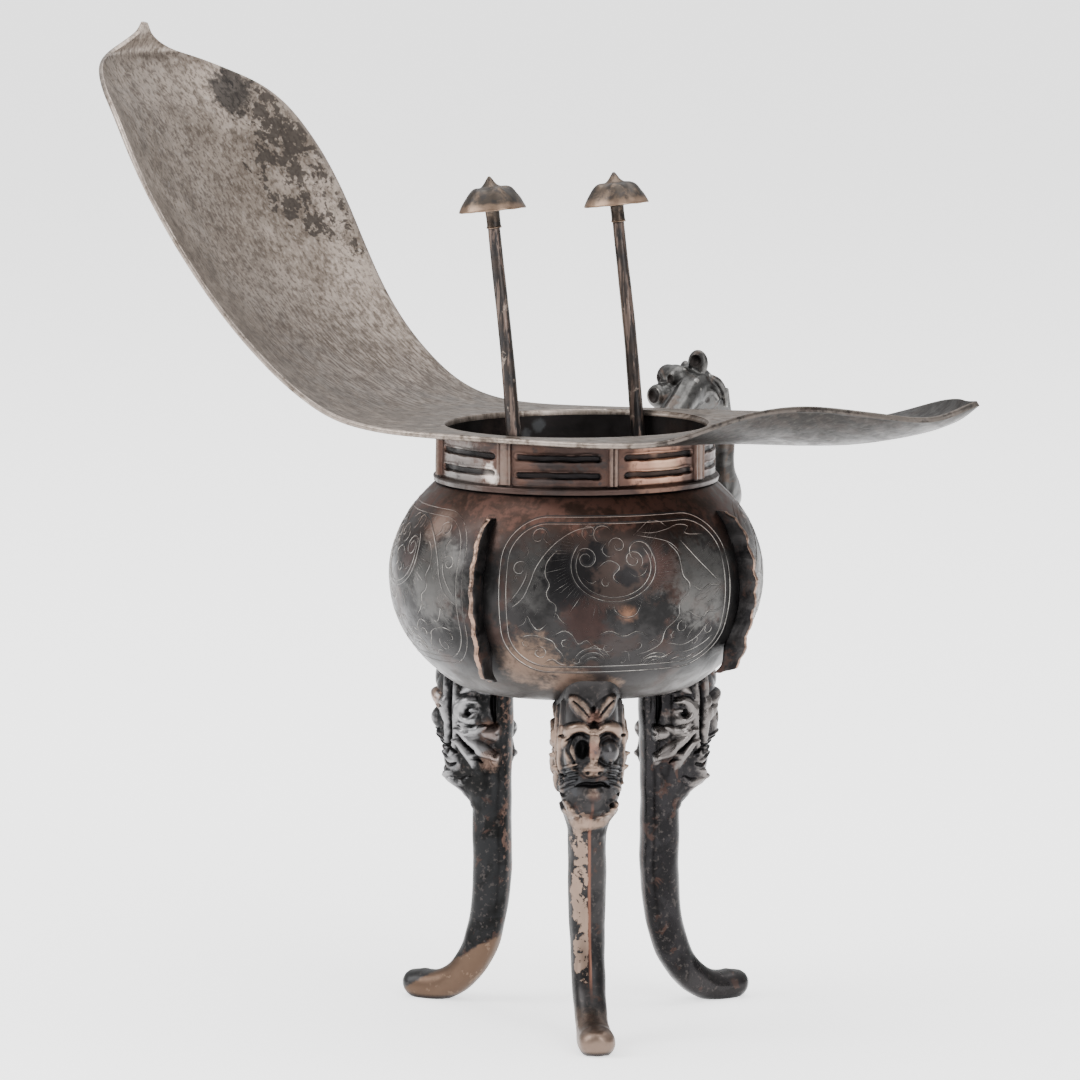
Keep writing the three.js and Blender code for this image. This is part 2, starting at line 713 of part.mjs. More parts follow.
const box = new THREE.Box3().setFromObject(cup);
cup.position.set(-(box.min.x + box.max.x) / 2, -(box.min.y + box.max.y) / 2, -box.min.z);

export default cup;
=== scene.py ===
"""Looks of a tripod wine cup of tarnished silver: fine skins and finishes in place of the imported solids."""

import math

import bpy
import numpy as np
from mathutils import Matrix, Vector


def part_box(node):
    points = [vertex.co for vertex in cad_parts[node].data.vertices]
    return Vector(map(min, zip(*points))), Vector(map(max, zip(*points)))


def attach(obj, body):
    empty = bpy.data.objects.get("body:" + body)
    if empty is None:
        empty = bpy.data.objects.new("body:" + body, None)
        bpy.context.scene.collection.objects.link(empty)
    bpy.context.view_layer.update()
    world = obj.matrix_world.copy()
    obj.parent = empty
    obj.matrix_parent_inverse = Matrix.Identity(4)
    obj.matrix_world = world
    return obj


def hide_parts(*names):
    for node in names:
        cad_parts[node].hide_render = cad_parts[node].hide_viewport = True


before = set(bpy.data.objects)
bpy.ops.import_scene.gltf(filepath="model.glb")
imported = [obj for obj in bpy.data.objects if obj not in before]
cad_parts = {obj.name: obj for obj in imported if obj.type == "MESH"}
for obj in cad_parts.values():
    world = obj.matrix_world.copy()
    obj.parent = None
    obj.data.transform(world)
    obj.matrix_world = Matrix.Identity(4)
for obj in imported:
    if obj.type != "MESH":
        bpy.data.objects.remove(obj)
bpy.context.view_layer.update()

# Sizes are in millimetres round the bowl's upright axis: tail to +X, spout to -X, handle to +Y.
MM = 0.001
bowl_low, bowl_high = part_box("bowl")
AXIS = np.array([(bowl_low.x + bowl_high.x) / 2, (bowl_low.y + bowl_high.y) / 2, 0.0])

# The camera stands where the photo was taken from
PHOTO_WIDTH = 1080
PIXELS_PER_MM = 6.25
EYE_DISTANCE = 850
EYE_TURN = math.radians(30)
EYE_HEIGHT = 188
AIM_HEIGHT = 77.4
AIM_SIDE = -5.76
SENSOR_WIDTH = 36


def make_camera():
    sine, cosine = math.sin(EYE_TURN), math.cos(EYE_TURN)
    eye = Vector((EYE_DISTANCE * sine, -EYE_DISTANCE * cosine, EYE_HEIGHT))
    aim = Vector((AIM_SIDE * cosine, AIM_SIDE * sine, AIM_HEIGHT))
    data = bpy.data.cameras.new("photo_camera")
    data.sensor_width = SENSOR_WIDTH
    data.lens = SENSOR_WIDTH * PIXELS_PER_MM * (aim - eye).length / PHOTO_WIDTH
    data.clip_start, data.clip_end = 0.01, 100
    camera = bpy.data.objects.new("photo_camera", data)
    camera.location = eye * MM + Vector(AXIS)
    camera.rotation_mode = "QUATERNION"
    camera.rotation_quaternion = (aim - eye).to_track_quat("-Z", "Y")
    bpy.context.scene.collection.objects.link(camera)
    bpy.context.scene.camera = camera


make_camera()

# The bowl and its neck
BOWL_FLOOR = 54
BOWL_RADIUS = 30
BOWL_MIDDLE = 72
BOWL_ROUND = 22.7
BOWL_WALL = 1.2
COLLAR_RADIUS = 22.2
COLLAR_WALL = 1.2
COLLAR_BORE = COLLAR_RADIUS - COLLAR_WALL
COLLAR_HEIGHT = 7.4
SOLDER_GAP = 0.3
LIP_HEIGHT = 1.1
LIP_REACH = 0.5
PILASTER_WIDTH = 2.6
PILASTER_REACH = 0.55
SLOT_DEPTH = 0.5
SLOT_HEIGHT = 0.9
SLOT_MARGIN = 5
BOSS_WIDTH = 1.5
BOSS_REACH = 0.8
SHEET_THICKNESS = 0.9
BOWL_TOP = BOWL_MIDDLE + BOWL_ROUND * math.sqrt(1 - (COLLAR_RADIUS / BOWL_RADIUS) ** 2)
MOUTH_LEVEL = BOWL_TOP + SOLDER_GAP + COLLAR_HEIGHT + SOLDER_GAP + SHEET_THICKNESS
COLLAR_BOTTOM = BOWL_TOP + SOLDER_GAP
COLLAR_TOP = MOUTH_LEVEL - SHEET_THICKNESS - SOLDER_GAP

# Cross-sections of the sheet from the spout's tip to the tail's tip: the centre line's place along X and
# height above the mouth, the half-width, and how far the near and far edges curl up.
SHEET_ROWS = [
    (-82.3, 62.3, 0.3, 0, 0),
    (-82.7, 60.4, 1.9, 0.1, 0.1),
    (-83.4, 59, 4.9, 0.3, 0.3),
    (-83.9, 57.4, 9.8, 0.8, 0.8),
    (-83.2, 55.3, 13.6, 1.7, 1.7),
    (-80.2, 51.3, 19.4, 3.6, 3.6),
    (-76.1, 46.2, 24.7, 5.5, 5.5),
    (-69.6, 34.6, 27.7, 7, 7),
    (-62, 23.1, 26.5, 6.3, 6.1),
    (-54, 13.7, 24.6, 5, 4.5),
    (-44.2, 6, 23.4, 3.3, 2.5),
    (-33.9, 1.1, 23.1, 1.7, 0.7),
    (-24, 0, 23.6, 0.3, 0),
    (-12, 0, 24, 0, 0),
    (12, 0, 24, 0, 0.7),
    (27, 0, 24, 0.2, 1.1),
    (35, -0.2, 22.5, 3.4, 1.2),
    (43, -0.1, 19.1, 6.4, 1.6),
    (51, 0.5, 15.1, 6.8, 2.8),
    (59, 2, 12, 4.2, 3.9),
    (66, 4.2, 6.2, 0.9, 2.8),
    (70.5, 7.3, 0.3, 0, 0),
]
EDGE_POWER = 2.2

# Posts and caps
POST_RADIUS = 1.15
POST_TOP_RADIUS = 0.95
POST_DEPTH = 7
POST_HEIGHTS = {"front": 35.2, "back": 33.8}
POST_LEAN = 3.8
SLEEVE_LENGTH = 3
CAP_LOBES = 5

# Legs
LEG_ANGLES = {"leg_spout": 180, "leg_front": -53.5, "leg_back": 60}
LEG_REACH = 33.4
SHAFT_REACH = 15.7
LEG_HALF_DEPTH = 3.15
LEG_HALF_WIDTH = 3.05
FOOT_SPOT = 0.25
MASK_DROP = 21
MASK_FACE = 24.9
MASK_HALF_WIDTH = 4.9
CHIN = BOWL_FLOOR - MASK_DROP

# Handle
STRAP_REACH = 50
STRAP_THICKNESS = 3.8
STRAP_WIDTH = 5
GRIP_DEPTH = 24
SCROLL_REACH = 3.6
HEAD_TURN = 22
HEAD_LENGTH = 12
HEAD_HEIGHT = 9.5
HEAD_WIDTH = 7.5
HEAD_BACK = 3.8
HEAD_SINK = 2.4
CHEST_LEVEL = MOUTH_LEVEL + 1.6

# Flanges
FLANGE_ANGLES = {"flange_front": -90, "flange_tail": 0, "flange_spout": 180}
FLANGE_REACH = 3
FLANGE_THICKNESS = 1.5
FLANGE_HEIGHT = 25
FLANGE_NOTCHES = 7
FLANGE_NOTCH_DEPTH = 0.45
FLANGE_DROP = 3.5
FLANGE_HOOK = 1.8
FLANGE_SQUARENESS = 0.28


def ease(value, low, high):
    """0 below low, 1 above high, and smooth between."""
    t = np.clip((np.asarray(value, float) - low) / (high - low), 0, 1)
    return t * t * (3 - 2 * t)


def smooth_row(pairs, at):
    """A smooth value along a list of (place, value) pairs."""
    places, values = np.array(pairs, float).T
    at = np.asarray(at, float)
    k = np.clip(np.searchsorted(places, at) - 1, 0, len(places) - 2)
    share = ease((at - places[k]) / (places[k + 1] - places[k]), 0, 1)
    return values[k] + (values[k + 1] - values[k]) * share


def hump(value, middle, width):
    """1 at the middle and falling to 0 on both sides over about the width."""
    return np.exp(-((value - middle) / width) ** 2)


def boxy(value, power):
    """A sine or cosine that stays near its ends for longer, which makes an oval squarer."""
    return np.sign(value) * np.abs(value) ** power


def round_about(count):
    """Even angles all the way round."""
    return np.linspace(0, 2 * math.pi, count, endpoint=False)


def read_along(at, run, values):
    """The columns of values, given along run, read at other places."""
    return np.stack([np.interp(at, run, column) for column in values.T], 1)


def through(points, places):
    """A smooth curve through the points, read at shares from 0 to 1 with as many shares to each stretch."""
    p = np.asarray(points, float)
    last = len(p) - 1
    p = np.vstack([2 * p[0] - p[1], p, 2 * p[-1] - p[-2]])
    at = np.clip(np.asarray(places, float) * last, 0, last)
    k = np.minimum(at.astype(int), last - 1)
    t = (at - k)[:, None]
    a, b, c, d = p[k], p[k + 1], p[k + 2], p[k + 3]
    steps = (b - a, c - b, d - c)
    ab, bc, cd = (np.sqrt(np.maximum(np.linalg.norm(step, axis=1), 1e-9))[:, None] for step in steps)
    start = ((b - a) / ab - (c - a) / (ab + bc) + (c - b) / bc) * bc
    end = ((c - b) / bc - (d - b) / (bc + cd) + (d - c) / cd) * bc
    square, cube = t * t, t * t * t
    blend = 3 * square - 2 * cube
    return (1 - blend) * b + blend * c + (cube - 2 * square + t) * start + (cube - square) * end


def evenly(points, count):
    """Points at even distances along the smooth curve through the given ones."""
    dense = through(points, np.linspace(0, 1, 40 * len(points)))
    run = np.concatenate([[0], np.cumsum(np.linalg.norm(np.diff(dense, axis=0), axis=1))])
    return read_along(np.linspace(0, run[-1], count), run, dense)


def ahead_of(points):
    """The direction of a run of points at each of them."""
    step = np.gradient(points, axis=0)
    return step / np.linalg.norm(step, axis=1)[:, None]


def wobble(points, size, seed):
    """A gentle seeded unevenness from -1 to 1 that changes over about the given size."""
    draw = np.random.default_rng(seed)
    total = np.zeros(points.shape[:-1])
    for _ in range(9):
        way = draw.normal(size=3)
        way *= 2 * math.pi / size * draw.uniform(0.5, 1.3) / np.linalg.norm(way)
        total += np.sin(points @ way + draw.uniform(0, 2 * math.pi))
    return total / 4


class Skin:
    """Corners and faces of one piece, in millimetres round the bowl's axis."""

    def __init__(self):
        self.corners = []
        self.faces = []
        self.worn = []
        self.count = 0

    def add(self, corners, faces, worn=None):
        self.corners.append(np.asarray(corners, float))
        self.faces.extend((np.asarray(group) + self.count).tolist() for group in faces)
        self.worn.append(np.zeros(len(corners)) if worn is None else worn)
        self.count += len(corners)
        return self

    def loft(self, rings, around_too=False, worn=None):
        """A skin over rings of equally many points, with filled ends or the last ring joined to the first.

        Worn says how proud or rubbed each point is, below 0 where it lies deep.
        """
        rings = np.asarray(rings, float)
        marks = np.zeros(rings.shape[:2]) if worn is None else np.broadcast_to(worn, rings.shape[:2])
        marks = marks.ravel()
        count, around = rings.shape[:2]
        steps = count if around_too else count - 1
        i, j = np.meshgrid(np.arange(steps), np.arange(around), indexing="ij")
        next_row, next_place = ((i + 1) % count) * around, (j + 1) % around
        quads = np.stack([i * around + j, i * around + next_place, next_row + next_place, next_row + j], -1)
        quads = quads.reshape(-1, 4)
        corners = rings.reshape(-1, 3)
        groups = [quads]
        if not around_too:
            corners = np.vstack([corners, rings[0].mean(0), rings[-1].mean(0)])
            marks = np.concatenate([marks, marks[:1], marks[-1:]])
            k = np.arange(around)
            n, last = (k + 1) % around, (count - 1) * around
            tip = count * around
            groups.append(np.stack([n, k, np.full(around, tip)], -1))
            groups.append(np.stack([k + last, n + last, np.full(around, tip + 1)], -1))
        a, b, c, d = (corners[quads[:, m]] for m in range(4))
        middle = corners.mean(0)
        volume = np.einsum("ij,ij->", a - middle, np.cross(b - middle, c - middle))
        volume += np.einsum("ij,ij->", a - middle, np.cross(c - middle, d - middle))
        if volume < 0:
            groups = [group[:, ::-1] for group in groups]
        return self.add(corners, [row for group in groups for row in group], marks)

    def ball(self, centre, radii, turn=0, sides=28):
        """A stretched ball, turned about the upright."""
        up = np.linspace(-math.pi / 2 + 0.05, math.pi / 2 - 0.05, sides // 2)[:, None]
        a = round_about(sides)[None, :]
        x = np.cos(up) * np.cos(a) * radii[0]
        y = np.cos(up) * np.sin(a) * radii[1]
        z = np.sin(up) * radii[2] + 0 * a
        sine, cosine = math.sin(turn), math.cos(turn)
        rings = np.stack([x * cosine - y * sine, x * sine + y * cosine, z], -1)
        return self.loft(rings + np.asarray(centre, float))

    def tube(self, points, radii, sides=14, steps=None):
        """A round bar along a smooth curve through the points, as thick as radii say along it."""
        count = steps or 10 * len(points)
        middle = evenly(points, count)
        ahead = ahead_of(middle)
        thick = np.interp(np.linspace(0, 1, count), np.linspace(0, 1, len(radii)), radii)
        side = np.cross(ahead, [0.13, 0.21, 1.0])
        side /= np.linalg.norm(side, axis=1)[:, None]
        up = np.cross(side, ahead)
        a = round_about(sides)
        rings = middle[:, None] + thick[:, None, None] * (
            np.cos(a)[None, :, None] * side[:, None] + np.sin(a)[None, :, None] * up[:, None]
        )
        return self.loft(rings)

    def turned(self, degrees, shift=(0, 0, 0)):
        """The same skin turned about the upright and moved."""
        a = math.radians(degrees)
        turn = np.array([[math.cos(a), -math.sin(a), 0], [math.sin(a), math.cos(a), 0], [0, 0, 1]])
        self.corners = [corners @ turn.T + np.asarray(shift, float) for corners in self.corners]
        return self


def make_piece(name, skin, finish, nodes=(), sharp=40):
    """A piece of the cup in the frame's metres, riding on the body and standing for its nodes."""
    mesh = bpy.data.meshes.new(name)
    corners = np.vstack(skin.corners) * MM + AXIS
    mesh.from_pydata(corners.tolist(), [], skin.faces)
    mesh.attributes.new("worn", "FLOAT", "POINT").data.foreach_set("value", np.concatenate(skin.worn))
    mesh.polygons.foreach_set("use_smooth", [True] * len(mesh.polygons))
    mesh.set_sharp_from_angle(angle=math.radians(sharp))
    mesh.materials.append(finish)
    piece = bpy.data.objects.new(name, mesh)
    bpy.context.scene.collection.objects.link(piece)
    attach(piece, "root")
    if nodes:
        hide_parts(*nodes)
    return piece


def take_mesh(piece):
    """Makes what the modifiers show the piece's own mesh."""
    bpy.context.view_layer.update()
    shown = piece.evaluated_get(bpy.context.evaluated_depsgraph_get())
    mesh = bpy.data.meshes.new_from_object(shown)
    piece.modifiers.clear()
    piece.data = mesh


def fuse(piece, grain, soften=3):
    """One closed skin over all that is joined in the piece, a little softened."""
    remesh = piece.modifiers.new("fuse", "REMESH")
    remesh.mode = "VOXEL"
    remesh.voxel_size = grain * MM
    remesh.use_smooth_shade = True
    smooth = piece.modifiers.new("soften", "SMOOTH")
    smooth.factor = 0.5
    smooth.iterations = soften
    finish = piece.data.materials[0]
    take_mesh(piece)
    piece.data.materials.clear()
    piece.data.materials.append(finish)


# Finishes


class Value:
    """The output of a node, in which sums can be written."""

    def __init__(self, finish, socket):
        self.finish = finish
        self.socket = socket

    def math(self, operation, first, second=0.0):
        return self.finish.node("Math", {"operation": operation}, {0: first, 1: second})

    def __add__(self, other):
        return self.math("ADD", self, other)

    def __sub__(self, other):
        return self.math("SUBTRACT", self, other)

    def __rsub__(self, other):
        return self.math("SUBTRACT", other, self)

    def __mul__(self, other):
        return self.math("MULTIPLY", self, other)

    __radd__ = __add__
    __rmul__ = __mul__

    def span(self, low, high):
        """0 at low, 1 at high and smooth between, also where low is above high."""
        sockets = {"Value": self, "From Min": low, "From Max": high}
        return self.finish.node("MapRange", {"interpolation_type": "SMOOTHSTEP"}, sockets)


class Nodes:
    """The nodes of one tree."""

    def __init__(self, tree):
        self.tree = tree
        self.tree.nodes.clear()

    def node(self, kind, settings, sockets, output=0):
        made = self.tree.nodes.new("ShaderNode" + kind)
        for key, value in settings.items():
            setattr(made, key, value)
        for key, value in sockets.items():
            socket = made.inputs[key] if isinstance(key, int) else self.find(made.inputs, key)
            if isinstance(value, Value):
                self.tree.links.new(value.socket, socket)
            else:
                socket.default_value = value
        if not made.outputs:
            return None
        outlet = made.outputs[output] if isinstance(output, int) else self.find(made.outputs, output)
        return Value(self, outlet)

    @staticmethod
    def find(sockets, key):
        named = [s for s in sockets if s.identifier == key] or [s for s in sockets if s.name == key]
        return named[0]

    def vector(self, operation, first, second, output=0):
        return self.node("VectorMath", {"operation": operation}, {0: first, 1: second}, output)

    def part(self, vector, axis):
        return self.node("SeparateXYZ", {}, {0: vector}, "XYZ".index(axis))


class Finish(Nodes):
    """A material with the nodes that it is worked out with."""

    def __init__(self, name):
        self.material = bpy.data.materials.new(name)
        self.material.use_nodes = True
        super().__init__(self.material.node_tree)

    def place(self):
        """Where a point is, in millimetres round the bowl's axis."""
        here = self.node("TexCoord", {}, {}, "Object")
        here = self.vector("SUBTRACT", here, tuple(AXIS))
        return self.vector("MULTIPLY", here, (1 / MM,) * 3)

    def across(self, place, degrees):
        """How far a point lies to the right of a leg's middle, seen from outside the leg at those degrees."""
        a = math.radians(degrees)
        return self.vector("DOT_PRODUCT", place, (-math.sin(a), math.cos(a), 0), "Value")

    def marks(self):
        """How proud or rubbed a point is, as its piece's maker left it."""
        return self.node("Attribute", {"attribute_name": "worn"}, {}, "Fac")

    def noise(self, place, size, detail=3, stretch=(1, 1, 1), twist=0.0):
        """Clouds from about 0.25 to 0.75 and of about the given size, longer where stretch is more."""
        squeeze = tuple(1 / (size * s) for s in stretch)
        scaled = self.vector("MULTIPLY", place, squeeze)
        sockets = {"Vector": scaled, "Scale": 1.0, "Detail": detail, "Roughness": 0.6, "Distortion": twist}
        return self.node("TexNoise", {}, sockets, "Fac")

    def near(self, place, centre, reach, soft, rough, unevenness):
        """1 within reach of a point and 0 beyond, with an edge that an unevenness makes ragged."""
        away = self.vector("DISTANCE", place, centre, "Value") + (rough - 0.5) * unevenness
        return away.span(reach + soft, reach - soft)

    def blend(self, share, first, second):
        sockets = {"Factor_Float": share, "A_Color": colour(first), "B_Color": colour(second)}
        return self.node("Mix", {"data_type": "RGBA"}, sockets, "Result_Color")

    def bump(self, height, depth, normal=None):
        sockets = {"Height": height, "Distance": depth * MM, "Strength": 1.0}
        if normal:
            sockets["Normal"] = normal
        return self.node("Bump", {}, sockets)

    def edges(self):
        """1 on proud edges, from how sharply the skin bends."""
        return self.node("NewGeometry", {}, {}, "Pointiness")

    def hollow(self, reach):
        """1 deep in hollows and 0 in the open."""
        settings = {"samples": 6, "inside": False}
        open_share = self.node("AmbientOcclusion", settings, {"Distance": reach * MM}, "AO")
        return 1 - open_share

    def close(self, colours, roughness, metallic, normal, gloss=0.5, glow=0.0):
        sockets = {
            "Base Color": colours,
            "Roughness": roughness,
            "Metallic": metallic,
            "Normal": normal,
            "Specular IOR Level": gloss,
            "Emission Color": (1, 1, 1, 1),
            "Emission Strength": glow,
        }
        shader = self.node("BsdfPrincipled", {}, sockets)
        self.node("OutputMaterial", {}, {"Surface": shader})
        return self.material


def colour(value):
    return value if isinstance(value, Value) else (*value, 1.0)


# Tones of old silver, as linear red, green and blue
CHARCOAL = (0.028, 0.026, 0.026)
BLACK = (0.008, 0.0075, 0.008)
BROWN = (0.062, 0.034, 0.026)
SLATE = (0.036, 0.037, 0.04)
COPPER = (0.36, 0.2, 0.14)


class Silver(Finish):
    """Silver with the layers that age gives it, and some painted shade and light, put on one by one from the
    metal outwards.
    """

    def __init__(self, name, ground, shade, cloud_size=9):
        super().__init__(name)
        self.here = self.place()
        self.level = self.part(self.here, "Z")
        self.clouds = self.noise(self.here, cloud_size, 6, twist=0.6)
        self.blots = self.noise(self.here, 3.2, 6, twist=0.5)
        self.specks = self.noise(self.here, 0.8, 4)
        self.grain = self.blots * 0.65 + self.specks * 0.35
        self.colours = self.blend(self.clouds.span(0.42, 0.58), ground, shade)
        self.dull = self.blots.span(0.35, 0.65) * 0.16 + self.specks * 0.1 + 0.25

    def stain(self, share, tone, dull=0.0):
        self.colours = self.blend(share, self.colours, tone)
        if dull:
            self.dull = self.dull + share * dull
        return self

    def flaked(self, share, tone, strength=0.9, dull=0.0, crisp=0.025):
        """A layer in crisp flakes: none where share is 0, half of the face at 0.5 and all of it at 1."""
        whole = (self.grain + share * 0.5).span(0.75 - crisp, 0.75 + crisp)
        return self.stain(whole * strength, tone, dull)

    def patch(self, centre, reach, tone, soft=0.8, strength=0.85, dull=0.0):
        share = self.near(self.here, centre, reach, soft, self.grain, 3.5 * reach)
        return self.stain(share * strength, tone, dull)

    def patches(self, place, spots):
        """Round spots: what place needs to put one on the piece, then size, tone, softness and strength."""
        for *where, size, tone, soft, strength in spots:
            self.patch(place(*where), size, tone, soft, strength)

    def wear(self, low, high, tone, strength=0.9):
        """Rubbed edges, broken up by blots."""
        rubbed = self.edges().span(low, high) * self.grain.span(0.4, 0.52)
        return self.stain(rubbed * strength, tone, -0.06)

    def carved(self, worn, strength=0.85, low=0.2, high=0.75, deep=0.5):
        """Rubbed high places and black low ones, after the marks that the carving left."""
        marks = self.marks()
        uneven = marks + (self.grain - 0.5) * 1.6
        self.stain(uneven.span(low, high) * strength, worn, -0.05)
        return self.stain(marks.span(0, -deep) * 0.92, BLACK, 0.1)

    # Darkens hollows found by ambient occlusion: black tarnish that gathers there, and painted shade as well.
    def hollow_tarnish_and_shade(self, reach, strength, tone=BLACK):
        deep = self.hollow(reach).span(0.12, 0.6)
        return self.stain(deep * strength, tone, 0.12)

    def finished(self, grain=0.05, metal=0.9, gloss=0.5):
        height = self.specks * 0.4 + self.blots * 0.6
        return self.close(self.colours, self.dull, metal, self.bump(height, grain), gloss)


def on_leg(degrees, across, reach, level):
    """A point at the reach from the bowl's axis: across is to the right, as seen from outside."""
    a = math.radians(degrees)
    x, y = math.cos(a), math.sin(a)
    return (reach * x - across * y, reach * y + across * x, level)


def bowl_radius_at(level):
    return BOWL_RADIUS * np.sqrt(np.maximum(0, 1 - ((np.asarray(level) - BOWL_MIDDLE) / BOWL_ROUND) ** 2))


def on_bowl(degrees, level):
    return on_leg(degrees, 0, float(bowl_radius_at(level)), level)


def on_collar(degrees, level, reach=COLLAR_RADIUS):
    return on_leg(degrees, 0, reach, level)


# The middle of each panel of the bowl in degrees, and -1 where its drawing is mirrored
PANELS = [(-45, 1), (-135, -1), (45, -1), (135, 1)]

# Spots of tarnish and wear, and on the collar some painted light: the place, then size, tone, softness and
# strength.
# On a panel the place is degrees from its middle, and height. On the bowl and the collar it is degrees, and
# height.
PANEL_SPOTS = [
    (-28, 76, 4.5, (0.055, 0.053, 0.051), 2.5, 0.65),
    (27, 74, 6.2, (0.088, 0.085, 0.081), 2.5, 0.7),
    (4, 61, 7, (0.032, 0.03, 0.03), 4, 0.65),
    (-5, 77, 6.4, (0.03, 0.021, 0.018), 1.5, 0.85),
    (-18, 75, 4.2, BLACK, 1, 0.95),
    (-8.5, 79, 2, BLACK, 0.6, 0.95),
    (0.5, 75.5, 1.5, BLACK, 0.5, 0.95),
    (12, 77, 2.4, (0.075, 0.045, 0.04), 1.6, 0.6),
    (-12, 68.5, 3.4, (0.022, 0.012, 0.0105), 1.4, 0.8),
]
BOWL_SPOTS = [
    (-76, 61.5, 4.4, (0.16, 0.105, 0.075), 2.2, 0.7),
    (-62, 58.2, 3, (0.2, 0.13, 0.095), 1.8, 0.6),
    (-46, 57.5, 1.6, (0.24, 0.16, 0.115), 0.8, 0.6),
    (-113, 82, 2.4, (0.27, 0.19, 0.155), 1.6, 0.6),
    (-44, 69.5, 1.1, (0.2, 0.1, 0.06), 0.9, 0.6),
    (-4, 72, 3.4, BLACK, 1.5, 0.85),
]
COLLAR_STAINS_AND_HIGHLIGHT = [
    # Painted highlight: the near-white spot at -97 degrees stands for a reflection of the lamps; the other
    # rows are stains.
    (-97, 90, 1.5, (0.6, 0.52, 0.47), 0.6, 0.9),
    (-114, 90, 4.8, (0.19, 0.175, 0.165), 2, 0.65),
    (-60, 93, 5, BLACK, 2.5, 0.6),
    (-22, 91, 2.2, (0.55, 0.36, 0.25), 1.2, 0.55),
]
# Painted light: a pale streak on the far inside wall of the bore, where light falls into the mouth. The place
# is degrees, height and how far out from the axis.
COLLAR_INNER_PAINTED_LIGHT = [
    (137, 93.6, COLLAR_BORE, 0.9, (0.09, 0.094, 0.098), 0.5, 0.7),
    (143, 92.3, COLLAR_BORE, 0.8, (0.09, 0.094, 0.098), 0.5, 0.7),
]
COPPER_QUARTERS = (-24, 66, 156)
# On the sheet the place is a point
SHEET_SPOTS = [
    (-76, 16, 147, 4.2, BLACK, 1.2, 0.85),
    (-79, 20, 138, 2.2, BLACK, 1.0, 0.8),
    (-66, 24, 122, 2.6, CHARCOAL, 1.4, 0.75),
]
# On a leg the place is how far across, how far out from the bowl's axis and how high above the mask's chin
SPOUT_LEG_SPOTS = [
    (5, 25.5, 18, 2.2, (0.33, 0.22, 0.165), 1, 0.6),
    (4, 13.6, 12.6, 1.8, (0.1, 0.06, 0.045), 0.8, 0.7),
    (4, 13, 8.2, 1.9, (0.2, 0.13, 0.1), 0.8, 0.7),
]
FRONT_LEG_SPOTS = [
    (0.1, 26.5, 14.6, 1.5, (0.15, 0.08, 0.06), 0.7, 0.8),
    (0, 25, 19.5, 1.2, (0.07, 0.035, 0.026), 0.7, 0.85),
    (0.1, 26.5, 10.6, 1.4, (0.17, 0.1, 0.075), 0.7, 0.6),
    (0.1, 25.5, 7, 1.3, (0.06, 0.033, 0.026), 0.7, 0.8),
    (2.6, 25.5, 14.2, 2, SLATE, 0.7, 0.95),
    (-4.2, 24, 9.4, 2.3, SLATE, 0.7, 0.8),
    (4.3, 24, 9.8, 2.3, SLATE, 0.7, 0.8),
    (-4.6, 23, 20.5, 2, CHARCOAL, 0.7, 0.75),
    (4.6, 23, 20.5, 2.2, CHARCOAL, 0.7, 0.75),
]


def bowl_finish():
    silver = Silver("tarnished_bowl", (0.022, 0.0205, 0.0205), (0.0105, 0.01, 0.01), 9)
    silver.stain(silver.noise(silver.here, 6, 6).span(0.52, 0.62) * 0.6, (0.045, 0.026, 0.021))
    shoulder = (silver.level + silver.clouds * 9).span(82, 89)
    silver.stain(shoulder * 0.75, (0.05, 0.028, 0.021))
    silver.flaked(shoulder * 0.5, (0.105, 0.052, 0.04), 0.6, crisp=0.06)
    underside = (silver.level - silver.clouds * 3).span(58.5, 54.8)
    silver.stain(underside * 0.6, (0.045, 0.037, 0.032))
    for middle, _ in PANELS:
        silver.patches(on_bowl, [(middle + away, *rest) for away, *rest in PANEL_SPOTS])
    silver.patches(on_bowl, BOWL_SPOTS)
    silver.hollow_tarnish_and_shade(2.5, 0.9)
    return silver.finished(0.035, metal=0.85, gloss=0.35)


def chasing_finish():
    silver = Silver("chased_lines", (0.2, 0.19, 0.18), (0.12, 0.11, 0.1), 5)
    silver.flaked(silver.clouds.span(0.4, 0.6) * 0.4 + 0.25, (0.36, 0.34, 0.315), 0.85, crisp=0.06)
    shoulder = (silver.level + silver.clouds * 9).span(81, 88)
    silver.stain(shoulder * 0.6, (0.14, 0.085, 0.065))
    return silver.finished(0.02)


# Dark lines beside the bold ridges: the dark of the chased groove, and painted shadow.
def groove_shadow_finish():
    silver = Silver("chased_groove_shadows", BLACK, (0.012, 0.011, 0.011), 6)
    return silver.finished(0.02, metal=0.4)


